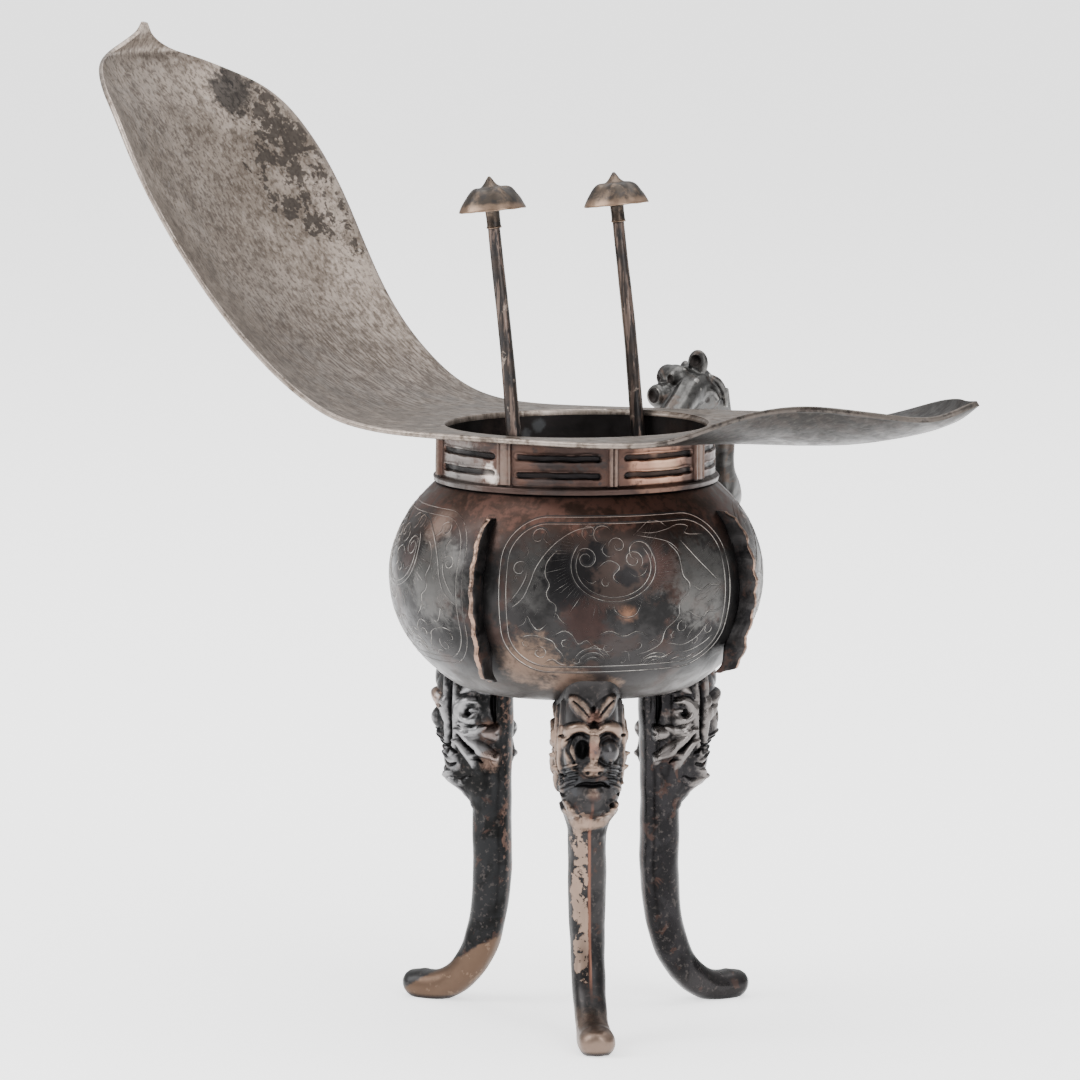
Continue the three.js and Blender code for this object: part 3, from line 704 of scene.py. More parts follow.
def collar_finish():
    silver = Silver("tarnished_collar", (0.075, 0.045, 0.036), BROWN, 7)
    silver.stain(silver.noise(silver.here, 2.2, 5, stretch=(3, 3, 1)).span(0.52, 0.62) * 0.7, CHARCOAL)
    for degrees in COPPER_QUARTERS:
        bright = silver.near(silver.here, on_collar(degrees, 91), 6, 2, silver.grain, 12)
        silver.flaked(bright * 0.62, COPPER, 0.8, crisp=0.09)
    # Stains, and a painted highlight at -97 degrees.
    silver.patches(on_collar, COLLAR_STAINS_AND_HIGHLIGHT)
    silver.flaked(silver.clouds.span(0.42, 0.58) * 0.34, CHARCOAL, 0.75, 0.08, crisp=0.05)
    silver.carved((0.2, 0.15, 0.125), 0.6, 0.4, 1.1, 0.5)
    lip = silver.level.span(COLLAR_BOTTOM + 1.3, COLLAR_BOTTOM + 0.9)
    silver.stain(lip * 0.65, (0.03, 0.022, 0.02), 0.05)
    silver.hollow_tarnish_and_shade(1.2, 0.95)
    # Painted shade: the bore inside the mouth is stained near-black, where the inside of the cup lies in
    # shadow.
    middle = silver.vector("LENGTH", silver.vector("MULTIPLY", silver.here, (1, 1, 0)), (0, 0, 0), "Value")
    silver.stain(middle.span(COLLAR_BORE + 0.6, COLLAR_BORE + 0.2) * 0.95, (0.02, 0.018, 0.018), 0.1)
    # Painted light on the far inside wall of the bore.
    silver.patches(on_collar, COLLAR_INNER_PAINTED_LIGHT)
    return silver.finished(0.05)


def sheet_finish():
    silver = Silver("worn_sheet", (0.33, 0.275, 0.232), (0.22, 0.18, 0.148), 15)
    mottle = silver.noise(silver.here, 2.6, 8, twist=0.4)
    pits = silver.noise(silver.here, 0.62, 5, stretch=(1.5, 1, 1.5))
    dashes = silver.noise(silver.here, 0.5, 4, stretch=(4.5, 1, 4.5))
    low = (silver.level + silver.clouds * 10).span(128, 106)
    silver.stain(mottle.span(0.48, 0.6) * 0.6, (0.1, 0.078, 0.062))
    silver.stain(pits.span(0.5, 0.6) * 0.65, (0.068, 0.052, 0.042), 0.06)
    silver.stain(dashes.span(0.5, 0.6) * low * 0.75, (0.05, 0.037, 0.029), 0.06)
    silver.stain(pits.span(0.44, 0.33) * 0.5, (0.42, 0.37, 0.33), -0.05)
    side = silver.part(silver.here, "Y")
    edge = side.span(4, 22) * silver.level.span(108, 126)
    silver.flaked(edge * 0.46 + silver.clouds.span(0.5, 0.62) * 0.2, (0.028, 0.023, 0.02), 0.85, 0.12)
    silver.patches(lambda *point: point, SHEET_SPOTS)
    silver.stain(low * 0.5, (0.075, 0.058, 0.047))
    silver.stain(dashes.span(0.47, 0.38) * low * 0.35, (0.4, 0.35, 0.31))
    along = silver.part(silver.here, "X")
    silver.stain(along.span(20, 32) * 0.94, (0.0135, 0.0128, 0.0122))
    silver.stain(mottle.span(0.48, 0.6) * along.span(22, 34) * 0.55, (0.04, 0.031, 0.027))
    silver.stain(pits.span(0.46, 0.36) * along.span(22, 34) * 0.3, (0.062, 0.056, 0.05))
    silver.wear(0.505, 0.53, (0.32, 0.27, 0.235), 0.5 - along.span(14, 40) * 0.34)
    silver.hollow_tarnish_and_shade(3, 0.7, CHARCOAL)
    return silver.finished(0.05, metal=0.85)


def post_finish():
    silver = Silver("tarnished_posts", (0.045, 0.036, 0.032), CHARCOAL, 5)
    streaks = silver.noise(silver.here, 0.7, 4, stretch=(1, 1, 12))
    silver.stain(streaks.span(0.52, 0.58) * 0.7, (0.16, 0.115, 0.095))
    silver.flaked(silver.clouds.span(0.4, 0.6) * 0.3, (0.3, 0.24, 0.2), 0.6)
    silver.hollow_tarnish_and_shade(1.5, 0.6)
    return silver.finished(0.03)


def cap_finish():
    silver = Silver("worn_caps", (0.1, 0.073, 0.055), (0.042, 0.034, 0.028), 3)
    silver.stain(silver.noise(silver.here, 1.4, 5).span(0.5, 0.6) * 0.7, CHARCOAL)
    silver.carved((0.27, 0.18, 0.125), 0.8, 0.35, 1.25, 0.6)
    silver.hollow_tarnish_and_shade(1.0, 0.9)
    return silver.finished(0.04)


def leg_finish(leg, name, tones, rubbed, low=0.2):
    """Tones are ground, shade and worn. Rubbed is how much of the shaft's left and right half is bare."""
    ground, shade, worn = tones
    degrees = LEG_ANGLES[leg]
    silver = Silver("cast_" + name, ground, shade, 6)
    silver.stain(silver.blots.span(0.58, 0.64) * 0.5, BROWN)
    silver.stain(silver.specks.span(0.56, 0.64) * 0.4, (0.07, 0.06, 0.056))
    across = silver.across(silver.here, degrees)
    left, right = rubbed
    shaft = silver.level.span(6, 13) * silver.level.span(40, 35)
    window = across.span(-3.1, -2.1) * across.span(0.1, -0.4)
    silver.flaked((window * (left - right) + right) * shaft, worn, 0.9, -0.03, crisp=0.02)
    ridge = across.span(-0.35, -0.08) * across.span(0.35, 0.08) * shaft
    silver.stain(ridge * min(1.0, left * 1.3), (0.17, 0.075, 0.05))
    foot = (silver.level + (silver.grain - 0.5) * 8).span(6.5, 3)
    silver.stain(foot * min(1.0, left * 1.2), worn)
    silver.carved(worn, 0.85, low, 0.85)
    return silver


def leg_finished(silver, leg, spots, grain=0.04):
    silver.patches(lambda across, reach, up: on_leg(LEG_ANGLES[leg], across, reach, CHIN + up), spots)
    silver.hollow_tarnish_and_shade(1.2, 0.9)
    return silver.finished(grain)


def spout_leg_finish():
    tones = (0.014, 0.0142, 0.015), (0.006, 0.006, 0.006), (0.27, 0.265, 0.27)
    silver = leg_finish("leg_spout", "spout_leg", tones, (0.06, 0.1), 0.22)
    out = silver.part(silver.here, "X")
    slope = (silver.level + out * -0.6 + (silver.grain - 0.5) * 2.5).span(20.4, 19.8)
    silver.stain(slope * 0.94, (0.1, 0.063, 0.043), 0.05)
    silver.flaked(slope * 0.35, (0.18, 0.12, 0.083), 0.6)
    inner = out.span(-13.5, -12.6) * silver.level.span(14, 20)
    silver.flaked(inner * 0.42, (0.12, 0.072, 0.055), 0.7)
    return leg_finished(silver, "leg_spout", SPOUT_LEG_SPOTS)


def front_leg_finish():
    tones = (0.014, 0.0135, 0.014), CHARCOAL, (0.235, 0.165, 0.127)
    silver = leg_finish("leg_front", "front_leg", tones, (0.57, 0.22), 0.3)
    return leg_finished(silver, "leg_front", FRONT_LEG_SPOTS)


def back_leg_finish():
    tones = BLACK, (0.016, 0.015, 0.016), (0.17, 0.155, 0.148)
    silver = leg_finish("leg_back", "back_leg", tones, (0.06, 0.06), 0.25)
    silver.dull = silver.dull - 0.08
    return leg_finished(silver, "leg_back", [], 0.03)


def handle_finish():
    silver = Silver("cast_handle", (0.085, 0.083, 0.08), (0.036, 0.035, 0.034), 4)
    silver.stain(silver.blots.span(0.55, 0.64) * 0.55, (0.075, 0.05, 0.038))
    silver.wear(0.51, 0.57, (0.3, 0.285, 0.27), 0.75)
    silver.stain(silver.marks().span(0, -0.5) * 0.9, (0.014, 0.011, 0.01), 0.12)
    silver.hollow_tarnish_and_shade(1.3, 0.95)
    return silver.finished(0.05)


def flange_finish():
    silver = Silver("flange_edges", CHARCOAL, BLACK, 5)
    silver.stain(silver.blots.span(0.55, 0.64) * 0.5, BROWN)
    silver.carved((0.3, 0.19, 0.14), 0.9, 0.5, 0.95)
    silver.hollow_tarnish_and_shade(1.5, 0.9)
    return silver.finished(0.05)


# Pieces: how finely each is drawn

BOWL_SIDES, BOWL_STEPS, BOWL_INNER_STEPS = 320, 130, 50
COLLAR_SIDES, COLLAR_LIP_STEPS, COLLAR_STEPS, COLLAR_INNER_STEPS = 720, 14, 52, 12
SHEET_STEPS, SHEET_HALF_STEPS, SHEET_EDGE_STEPS = 330, 34, 5
MOUTH_SIDES = 240
POST_STEPS, POST_SIDES = 150, 36
CAP_STEPS, CAP_SIDES = 110, 140
LEG_SIDES, MASK_STEPS, SHAFT_STEPS = 220, 180, 80
STRAP_SIDES, STRAP_STEPS = 64, 260
HEAD_SIDES, HEAD_STEPS = 60, 70
HANDLE_GRAIN = 0.19
FLANGE_SIDES, FLANGE_STEPS = 28, 190
FLOOR_SIDES = 64


def bowl_outline(inset, steps):
    """Radius and height from the middle of the floor up to the neck, with a rounded edge to the floor."""
    high = math.asin((BOWL_TOP - BOWL_MIDDLE) / BOWL_ROUND)
    a = np.linspace(-math.pi / 2 + 0.02, high, steps)
    level = BOWL_MIDDLE + (BOWL_ROUND - inset) * np.sin(a)
    floor, soft = BOWL_FLOOR + inset, 0.5
    level = floor + soft * np.logaddexp(0, (level - floor) / soft)
    return (BOWL_RADIUS - inset) * np.cos(a), level


def round_rings(radius, level, sides):
    a = round_about(sides)
    radius, level = radius[:, None], level[:, None]
    return np.stack([radius * np.cos(a), radius * np.sin(a), level + 0 * a], -1)


def beaten(points):
    """How far the hammered wall stands out at each point, in millimetres."""
    return 0.1 * wobble(points, 16, 3) + 0.05 * wobble(points, 6, 4)


def make_bowl():
    outer = round_rings(*bowl_outline(0, BOWL_STEPS), BOWL_SIDES)
    inner = round_rings(*bowl_outline(BOWL_WALL, BOWL_INNER_STEPS), BOWL_SIDES)[::-1]
    inner[0, :, 2] = BOWL_TOP
    out = outer / np.array([1, 1, 1e9])
    out /= np.maximum(np.linalg.norm(out, axis=-1), 1e-6)[..., None]
    outer += out * (beaten(outer) * ease(outer[..., 2], BOWL_FLOOR, BOWL_FLOOR + 4))[..., None]
    skin = Skin().loft(np.concatenate([outer, inner]))
    make_piece("bowl_skin", skin, bowl_finish(), ["bowl"], sharp=50)


def from_ends(count):
    """How many places each of a row is from its nearer end."""
    return np.minimum(np.arange(count), np.arange(count)[::-1])


def on_panel(points, middle, mirror=1):
    """From a panel's millimetres, round the belly and up its curve, to places on the bowl and the way out."""
    points = np.asarray(points, float)
    a = np.radians(middle) + mirror * points[:, 0] / BOWL_RADIUS
    tilt = points[:, 1] / (BOWL_ROUND + 1.2)
    reach = BOWL_RADIUS * np.cos(tilt)
    level = BOWL_MIDDLE + BOWL_ROUND * np.sin(tilt)
    out = np.stack([np.cos(a) * np.cos(tilt), np.sin(a) * np.cos(tilt), np.sin(tilt)], 1)
    return np.stack([reach * np.cos(a), reach * np.sin(a), level], 1), out


def ribbon(skin, path, middle, mirror, half_width, rise, aside=0.0):
    """A thin ridge along a path on the bowl, with its foot sunk in the wall."""
    places, out = on_panel(path, middle, mirror)
    level_out = out * np.array([1, 1, 0])
    places = places + level_out / np.linalg.norm(level_out, axis=1)[:, None] * beaten(places)[:, None]
    side = np.cross(ahead_of(places), out)
    taper = np.minimum(1, from_ends(len(places)) / 3 + 0.15)[:, None]
    centre = places + side * aside
    wide = side * half_width * taper
    foot = centre - out * 0.12
    skin.loft(np.stack([foot - wide, centre + out * rise * taper, foot + wide], 1))


def bend(centre, radii, a):
    """Points on an oval at the angles a, or on a spiral where the radii change along it."""
    return np.stack([centre[0] + radii[0] * np.cos(a), centre[1] + radii[1] * np.sin(a)], -1)


def curl(centre, radius, start, turns, inner=0.25):
    """A spiral from its outer end inwards, in panel millimetres. Start is in degrees."""
    t = np.linspace(0, 1, int(abs(turns) * 9) + 4)
    r = radius * (1 - (1 - inner) * t)
    return bend(centre, (r, r), math.radians(start) + 2 * math.pi * turns * t)


def arc(centre, radii, start, end):
    return bend(centre, radii, np.radians(np.linspace(start, end, 24)))


def frame_line(inset):
    """The rounded frame of a panel."""
    half, low, high, corner = 20.2 - inset, -13.3 + inset, 13.6 - inset, 7.5 - inset
    quarters = [
        (half - corner, high - corner, 0),
        (-half + corner, high - corner, 90),
        (-half + corner, low + corner, 180),
        (half - corner, low + corner, 270),
    ]
    line = np.vstack([arc((x, y), (corner, corner), start, start + 90) for x, y, start in quarters])
    return np.vstack([line, line[:1]])


BLOOM = (-1.75, 5.5)
BLOOM_RADII = (6.9, 5.9)


def round_bloom(degrees, reach):
    return bend(BLOOM, reach * np.array(BLOOM_RADII), math.radians(degrees))


def bloom_strokes():
    """The roundel with its curls and the small petal below it."""
    return [
        arc(BLOOM, BLOOM_RADII, 138, 400),
        arc(BLOOM, (BLOOM_RADII[0] - 0.8, BLOOM_RADII[1] - 0.7), 150, 395),
        curl((-6.2, 6.6), 1.9, 160, -1.6),
        curl((1.5, 6.3), 1.7, -60, 1.5),
        curl((2.6, 7.4), 2.3, -40, 0.8, 0.6),
        curl((-0.9, 8.7), 1.6, 200, -1.2),
        curl((-3.1, 2.7), 0.9, 90, 1.1),
        curl((-5.5, 11), 1.5, 250, -1.2),
        curl((-3.4, 10.4), 1.9, 20, 0.7, 0.6),
        [(-4.6, 5), (-2.5, 6.3), (-0.8, 5.2), (-2, 3.6), (-0.4, 2.2)],
        [(-2.4, 9.6), (-3.6, 8), (-2.6, 6.9), (-1.2, 7.4)],
        [(0.4, 4.6), (1.6, 3.6), (3, 3.9), (3.8, 5.2)],
        [(-6.8, 3.6), (-5.4, 2.6), (-4.2, 3.4)],
        [(-2, -0.4), (-1.7, -1.9), (-0.2, -3), (1.6, -2.7), (2.6, -0.6)],
        [(-0.2, -0.9), (0.3, -1.9), (1.4, -1.6)],
    ]


def vein_strokes():
    """Fine veins that run out from the roundel over the petals."""
    strokes = []
    for k, degrees in enumerate(range(146, 405, 4)):
        reach = 1.45 + 0.18 * math.sin(2.3 * k) + 0.1 * math.sin(5.1 * k)
        if 262 < degrees < 292:
            continue
        ends = ((degrees, 1.07), (degrees + 2, 1.2), (degrees + 6, reach))
        strokes.append([round_bloom(*end) for end in ends])
    return strokes


LEFT_EDGE = [
    (-10.2, 8.5), (-11.7, 7.2), (-12.6, 5.7), (-12.7, 3.9), (-12, 2.3),
    (-12.5, 1), (-12.1, -0.1), (-11, -1), (-11.2, -3.1),
]
RIGHT_EDGE = [
    (7.8, 9.1), (9.6, 6.9), (10, 3.3), (11.1, 1.8), (10.7, 0.1), (9.2, -1.3),
    (9.2, -3.4), (7.1, -5.7), (6.7, -8), (4.7, -9.4), (2.4, -10.1),
]
LEAF = [
    (-18.9, -2.2), (-16.4, -0.1), (-15.2, 2.4), (-14.4, 4.8),
    (-13, 7.2), (-10.9, 9.5), (-7.7, 11.4), (-3.7, 12),
]


def foliage_strokes():
    """Leaf, clouds and waves round the bloom."""
    strokes = [
        LEFT_EDGE,
        RIGHT_EDGE,
        LEAF,
        [(-18.6, -0.9), (-17, 1.2), (-15.9, 3.4), (-15.6, 5.2)],
        curl((-16.9, 4.8), 1.4, 20, 1.2),
        curl((-14.2, 10.2), 1.7, -30, 1.2),
        [(-12.6, 11.6), (-13.4, 10), (-11.8, 8.6)],
        [(-16.8, 9.4), (-15.6, 7.4), (-16.4, 6.6)],
        [(1.8, 10.1), (4, 11.7), (5.6, 12.6), (7.8, 12.4), (9, 11.2)],
        [(3.2, 10.9), (5.4, 10.6), (8.8, 11.1), (11.4, 11.7), (13.4, 11.2), (12.2, 10.2), (16.3, 9.6)],
        [(2.5, 10.4), (8.5, 8.8), (10.3, 6.9)],
        [(10.7, 9.1), (13.4, 5.6), (17.2, 1.8)],
        [(11.5, 1.8), (13.4, 0.6), (15, 1.3), (18.4, 1)],
        [(9.6, -3.1), (11.1, -2.7), (12.4, -3.5), (14.2, -4), (15, -3.1), (17.2, -3.1), (18.4, -2.5)],
        curl((10.3, -5.3), 1.3, 60, 1.2),
        curl((16.2, -6.2), 1.2, 100, 1.1),
        [(13.4, -4.7), (12, -6.5), (11.5, -8)],
        [(15.4, -5), (14.2, -7), (11.5, -8.6), (8.5, -8.2), (7.4, -8)],
        [(17.8, -7.4), (15.6, -9), (13, -10), (10.4, -10)],
        [(-17.7, -5), (-16.1, -4.1), (-15.6, -2.8), (-15, -4.1), (-13.9, -5.3), (-12.4, -4.1)],
        [(-11.4, -3.4), (-11, -2.2), (-10.3, -3.4), (-8.8, -4.7)],
        [(-17.3, -6.7), (-14.9, -6.2), (-12.7, -6.7), (-11.5, -7.4), (-11.2, -8.3), (-10.3, -9.4),
         (-9.7, -10.9)],
        curl((-14.1, -9.4), 1.4, 100, -1.2),
        curl((-9.6, -7.7), 1.0, 0, 1.1),
        [(-11.5, -6.2), (-9.7, -5.3), (-8.5, -6), (-7.4, -7.7), (-6.2, -7), (-5, -8.3)],
        [(1.8, -11.6), (0.8, -9.2), (-0.7, -9.6)],
        [(3.4, -11.8), (5.4, -10.6), (7.8, -10.8), (9.6, -9.8)],
        curl((2.6, -8.2), 1.0, 200, 1.1),
        curl((-2.6, -8.4), 1.1, 30, -1.1),
        curl((-7.7, -10.8), 0.9, 140, 1.2),
        curl((0.2, -11.0), 0.8, 60, -1.1),
        curl((8.9, -6.8), 0.9, 20, 1.1),
        curl((13.4, -8.2), 1.0, 160, -1.2),
        curl((-16.2, -7.9), 0.8, 40, 1.1),
        [(-13.6, -11.4), (-11.9, -10.6), (-10.6, -11.6), (-9.2, -11.9)],
        [(9.4, -11.7), (11.2, -11), (12.8, -11.5), (14.6, -10.6)],
        [(-6.2, -8.9), (-4.7, -8.0), (-3.2, -9.6), (-1.6, -9.9)],
        [(4.2, -8.0), (5.6, -7.2), (6.4, -8.2)],
        [(-4.6, -6.2), (-2.4, -5.4), (0, -6.4), (2.2, -5.6), (4.4, -6.6)],
    ]
    for k in range(3):
        strokes.append(arc((-5, -12), (3.4 - 0.9 * k, 3.6 - 0.9 * k), 165, 20))
        strokes.append(arc((6.4, -12.4), (2.8 - 0.8 * k, 2.6 - 0.7 * k), 165, 20))
    return strokes


# Small strokes strewn at the right and at the left: how many, the box they start in, and their later points
SMALL_STROKES = [
    (60, (11.2, -2), (17.6, 8.5), ((0.7, 0.25), (1.5, 0.75))),
    (26, (-18.2, -4.5), (-13.5, 8), ((0.4, 0.6), (0.6, 1.3))),
]


def hatching_strokes():
    """Fine parallel strokes along the leaf, inside the clouds and over the waves."""
    strokes = []
    rib = evenly(LEAF, 26)
    for k in range(1, 25):
        x, y = rib[k]
        long = 1.5 + 0.5 * math.sin(1.7 * k)
        strokes.append([(x - 0.3, y + 0.35), (x - 0.3 - 0.5 * long, y + 0.1 + 0.35 * long)])
        strokes.append([(x + 0.3, y - 0.3), (x + 0.3 + 0.25 * long, y - 0.25 - 0.6 * long)])
    edge = evenly(RIGHT_EDGE, 30)
    for k in range(1, 29):
        way = edge[k] - BLOOM
        pull = way * (0.8 + 0.4 * math.sin(2.1 * k)) / math.hypot(*way)
        strokes.append([edge[k] - 0.35 * pull, edge[k] - 1.3 * pull])
    draw = np.random.default_rng(7)
    for _ in range(110):
        x, y, long = draw.uniform(-17.5, 16.5), draw.uniform(-12.3, -4.5), draw.uniform(0.8, 1.6)
        bow = draw.uniform(0.1, 0.5)
        strokes.append([(x, y), (x + 0.5 * long, y + bow), (x + long, y + draw.uniform(-0.2, 0.2))])
    for count, low, high, steps in SMALL_STROKES:
        for _ in range(count):
            start = np.array([draw.uniform(low[0], high[0]), draw.uniform(low[1], high[1])])
            strokes.append([start, *(start + step for step in steps)])
    return strokes


# Half the width of a stroke, how far it stands out, and how far aside it lies
BOLD_STROKE = (0.15, 0.055)
FINE_STROKE = (0.11, 0.045)
# The dark line beside each bold stroke: the dark of its groove, and painted shadow.
STROKE_SHADE = (0.2, 0.02, 0.24)
STROKE_STEP = 0.5


def make_chasing():
    """The chased ornament of the four panels, as fine ridges with a dark line beside each: the dark of the
    groove, and painted shadow.
    """
    ridges, grooves = Skin(), Skin()
    bold = [frame_line(0), frame_line(1.2)] + bloom_strokes() + foliage_strokes()
    fine = vein_strokes() + hatching_strokes()
    for middle, mirror in PANELS:
        for k, stroke in enumerate(bold + fine):
            stroke = np.asarray(stroke, float)
            length = np.linalg.norm(np.diff(stroke, axis=0), axis=1).sum()
            path = evenly(stroke, max(4, int(length / STROKE_STEP)))
            if k < len(bold):
                ribbon(ridges, path, middle, mirror, *BOLD_STROKE)
                ribbon(grooves, path, middle, mirror, *STROKE_SHADE)
            else:
                ribbon(ridges, path, middle, mirror, *FINE_STROKE)
    make_piece("bowl_chasing", ridges, chasing_finish(), sharp=80)
    make_piece("bowl_chasing_shade", grooves, groove_shadow_finish(), sharp=80)


def bar_shape(across, up, half_long, half_tall, soft):
    """1 inside a bar with round ends and 0 outside it."""
    away = np.hypot(np.maximum(np.abs(across) - (half_long - half_tall), 0), up)
    return 1 - ease(away, half_tall - soft, half_tall + soft)


def make_collar():
    low, high, lip_top = COLLAR_BOTTOM - 0.25, COLLAR_TOP + 0.8, COLLAR_BOTTOM + LIP_HEIGHT
    levels = np.concatenate([
        np.linspace(low, lip_top, COLLAR_LIP_STEPS, endpoint=False),
        np.linspace(lip_top, high, COLLAR_STEPS),
    ])
    degrees = np.linspace(0, 360, COLLAR_SIDES, endpoint=False)[None, :]
    level = levels[:, None] + 0 * degrees
    round_mm = math.radians(1) * COLLAR_RADIUS
    lip = LIP_REACH * (1 - ease(level, COLLAR_BOTTOM + 0.5 * LIP_HEIGHT, lip_top))
    lip += 0.12 * hump(level, COLLAR_BOTTOM + 0.35 * LIP_HEIGHT, 0.25)
    above_lip = ease(level, COLLAR_BOTTOM + 0.7 * LIP_HEIGHT, lip_top)
    from_quarter = np.abs((degrees + 45) % 90 - 45) * round_mm
    from_boss = np.abs(degrees % 90 - 45) * round_mm
    pilaster = PILASTER_REACH * (1 - ease(from_quarter, PILASTER_WIDTH / 2 - 0.15, PILASTER_WIDTH / 2 + 0.1))
    pilaster -= 0.18 * hump(from_quarter, 0.72, 0.16)
    boss = BOSS_REACH * (1 - ease(from_boss, BOSS_WIDTH / 2 - 0.25, BOSS_WIDTH / 2 + 0.15))
    boss -= 0.25 * hump(from_boss, 0, 0.14)
    relief = lip + above_lip * (pilaster + boss)
    worn = 0.9 * above_lip * (pilaster / PILASTER_REACH + boss / BOSS_REACH) + 0.2 * lip / LIP_REACH
    a = np.radians(degrees)
    cosine, sine = np.cos(a) + 0 * level, np.sin(a) + 0 * level
    shake = wobble(np.stack([COLLAR_RADIUS * cosine, COLLAR_RADIUS * sine, level], -1), 4, 13)
    half_run = (45 - 2 * SLOT_MARGIN) / 2
    half_long, half_tall = half_run * round_mm, SLOT_HEIGHT / 2
    for middle in (SLOT_MARGIN + half_run, 45 + SLOT_MARGIN + half_run):
        across = ((degrees % 90) - middle) * round_mm
        for share in (0.25, 0.68):
            up = level - (lip_top + share * (COLLAR_TOP - lip_top)) + 0.09 * shake
            cut = bar_shape(across, up, half_long, half_tall, 0.16) * (0.8 + 0.2 * shake)
            edge = bar_shape(across, up, half_long + 0.35, half_tall + 0.35, 0.14) - cut
            relief = relief - SLOT_DEPTH * cut + 0.07 * edge
            worn = worn - 0.9 * cut + 0.4 * edge
    radius = COLLAR_RADIUS + relief
    outer = np.stack([radius * cosine, radius * sine, level], -1)
    outer[..., :2] *= (1 + 0.002 * wobble(outer, 7, 11))[..., None]
    bore = np.full(COLLAR_INNER_STEPS, COLLAR_BORE)
    inner = round_rings(bore, np.linspace(high, low, COLLAR_INNER_STEPS), COLLAR_SIDES)
    inner[..., :2] *= (1 + 0.002 * wobble(inner, 9, 12))[..., None]
    marks = np.concatenate([worn + 0 * degrees, np.zeros(inner.shape[:2])])
    skin = Skin().loft(np.concatenate([outer, inner]), around_too=True, worn=marks)
    make_piece("collar_skin", skin, collar_finish(), ["collar"], sharp=50)


def evened(values, reach):
    """The values with their small bumps smoothed away over a few places, but for the two ends."""
    at = np.arange(-3 * reach, 3 * reach + 1)
    weights = np.exp(-0.5 * (at / reach) ** 2)
    padded = np.pad(values, ((3 * reach, 3 * reach), (0, 0)), mode="edge")
    columns = [np.convolve(column, weights / weights.sum(), "valid") for column in padded.T]
    smooth = np.stack(columns, 1)
    kept = 1 - ease(from_ends(len(values)), reach, 4 * reach)
    return smooth + (values - smooth) * kept[:, None]


def sheet_stations(count):
    rows = np.array(SHEET_ROWS)
    places = np.linspace(0, 1, count)
    line = evened(through(rows[:, :2], places), 5)
    ahead = ahead_of(line)
    half = np.maximum(0.3, evened(through(rows[:, 2:], places), 6)[:, 0])
    up = np.stack([-ahead[:, 1], ahead[:, 0]], 1)
    near, far = np.maximum(0, evened(through(rows[:, 3:], places), 9)).T
    return line, up, half, near, far


def make_sheet():
    line, up, half, near, far = sheet_stations(SHEET_STEPS)
    even = np.linspace(-1, 1, 2 * SHEET_HALF_STEPS + 1)
    across = 0.35 * np.sin(even * math.pi / 2) + 0.65 * even
    turn = np.linspace(0, math.pi, SHEET_EDGE_STEPS + 2)[1:-1]
    thick = SHEET_THICKNESS
    section = [(a, 0.0, 0.0) for a in across]
    section += [(1.0, -thick / 2 * (1 - math.cos(t)), 0.3 * math.sin(t)) for t in turn]
    section += [(a, -thick, 0.0) for a in across[::-1]]
    section += [(-1.0, -thick / 2 * (1 + math.cos(t)), -0.3 * math.sin(t)) for t in turn]
    a, lift, outward = np.array(section).T[:, None, :]
    rise = np.where(a < 0, near[:, None], far[:, None]) * np.abs(a) ** EDGE_POWER + lift
    x = line[:, :1] + up[:, :1] * rise
    z = line[:, 1:] + up[:, 1:] * rise + MOUTH_LEVEL
    y = a * half[:, None] + outward * np.minimum(1, half[:, None] / 3)
    points = np.stack([x, y, z], -1)
    uneven = 0.09 * wobble(points, 30, 21) + 0.03 * wobble(points, 9, 22)
    uneven *= ease(np.abs(x), 22, 30)
    points[..., 0] += up[:, :1] * uneven
    points[..., 2] += up[:, 1:] * uneven
    skin = Skin().loft(points)
    sheet = make_piece("mouth_sheet", skin, sheet_finish(), ["mouth_plate"], sharp=50)
    cut_mouth(sheet)


# The mouth's cutter: height from the mouth's level, and how far it is wider than the collar's bore
MOUTH_CUTTER = [(-12, -0.12), (-0.9, -0.12), (-0.35, -0.12), (-0.05, 0), (0.15, 0.2), (12, 0.2)]


def cut_mouth(sheet):
    """Opens the mouth with a slightly flared cutter."""
    levels, flare = np.array(MOUTH_CUTTER).T
    skin = Skin().loft(round_rings(COLLAR_BORE + flare, MOUTH_LEVEL + levels, MOUTH_SIDES))
    cutter = make_piece("mouth_cutter", skin, sheet.data.materials[0])
    cut = sheet.modifiers.new("mouth", "BOOLEAN")
    cut.operation = "DIFFERENCE"
    cut.solver = "EXACT"
    cut.object = cutter
    take_mesh(sheet)
    bpy.data.objects.remove(cutter)
    sheet.data.set_sharp_from_angle(angle=math.radians(50))


def post_line(name):
    side = -1 if name == "front" else 1
    foot = np.array([0, side * (COLLAR_BORE - POST_RADIUS - SOLDER_GAP), MOUTH_LEVEL])
    top = np.array([-POST_LEAN, side * (abs(foot[1]) + 0.1), MOUTH_LEVEL + POST_HEIGHTS[name]])
    along = (top - foot) / np.linalg.norm(top - foot)
    return foot, top, along


def make_post(name):
    foot, top, along = post_line(name)
    low = foot - along * POST_DEPTH
    high = top - along * (SLEEVE_LENGTH / 3)
    shares = np.linspace(0, 1, 91)
    middle = low + (high - low) * shares[:, None]
    middle[:, 0] += 0.22 * ease(shares, 0.05, 0.5) * (1 - ease(shares, 0.5, 0.95))
    thick = POST_RADIUS + (POST_TOP_RADIUS - POST_RADIUS) * shares
    if name == "front":
        thick = thick + 0.2 * hump(middle[:, 2], MOUTH_LEVEL + 0.4, 0.7)
    thick = thick + 0.03 * wobble(middle, 5, 31)
    skin = Skin().tube(middle[::3], thick[::3], sides=POST_SIDES, steps=POST_STEPS)
    make_piece("post_" + name + "_wire", skin, FINISHES["post"], ["post_" + name])


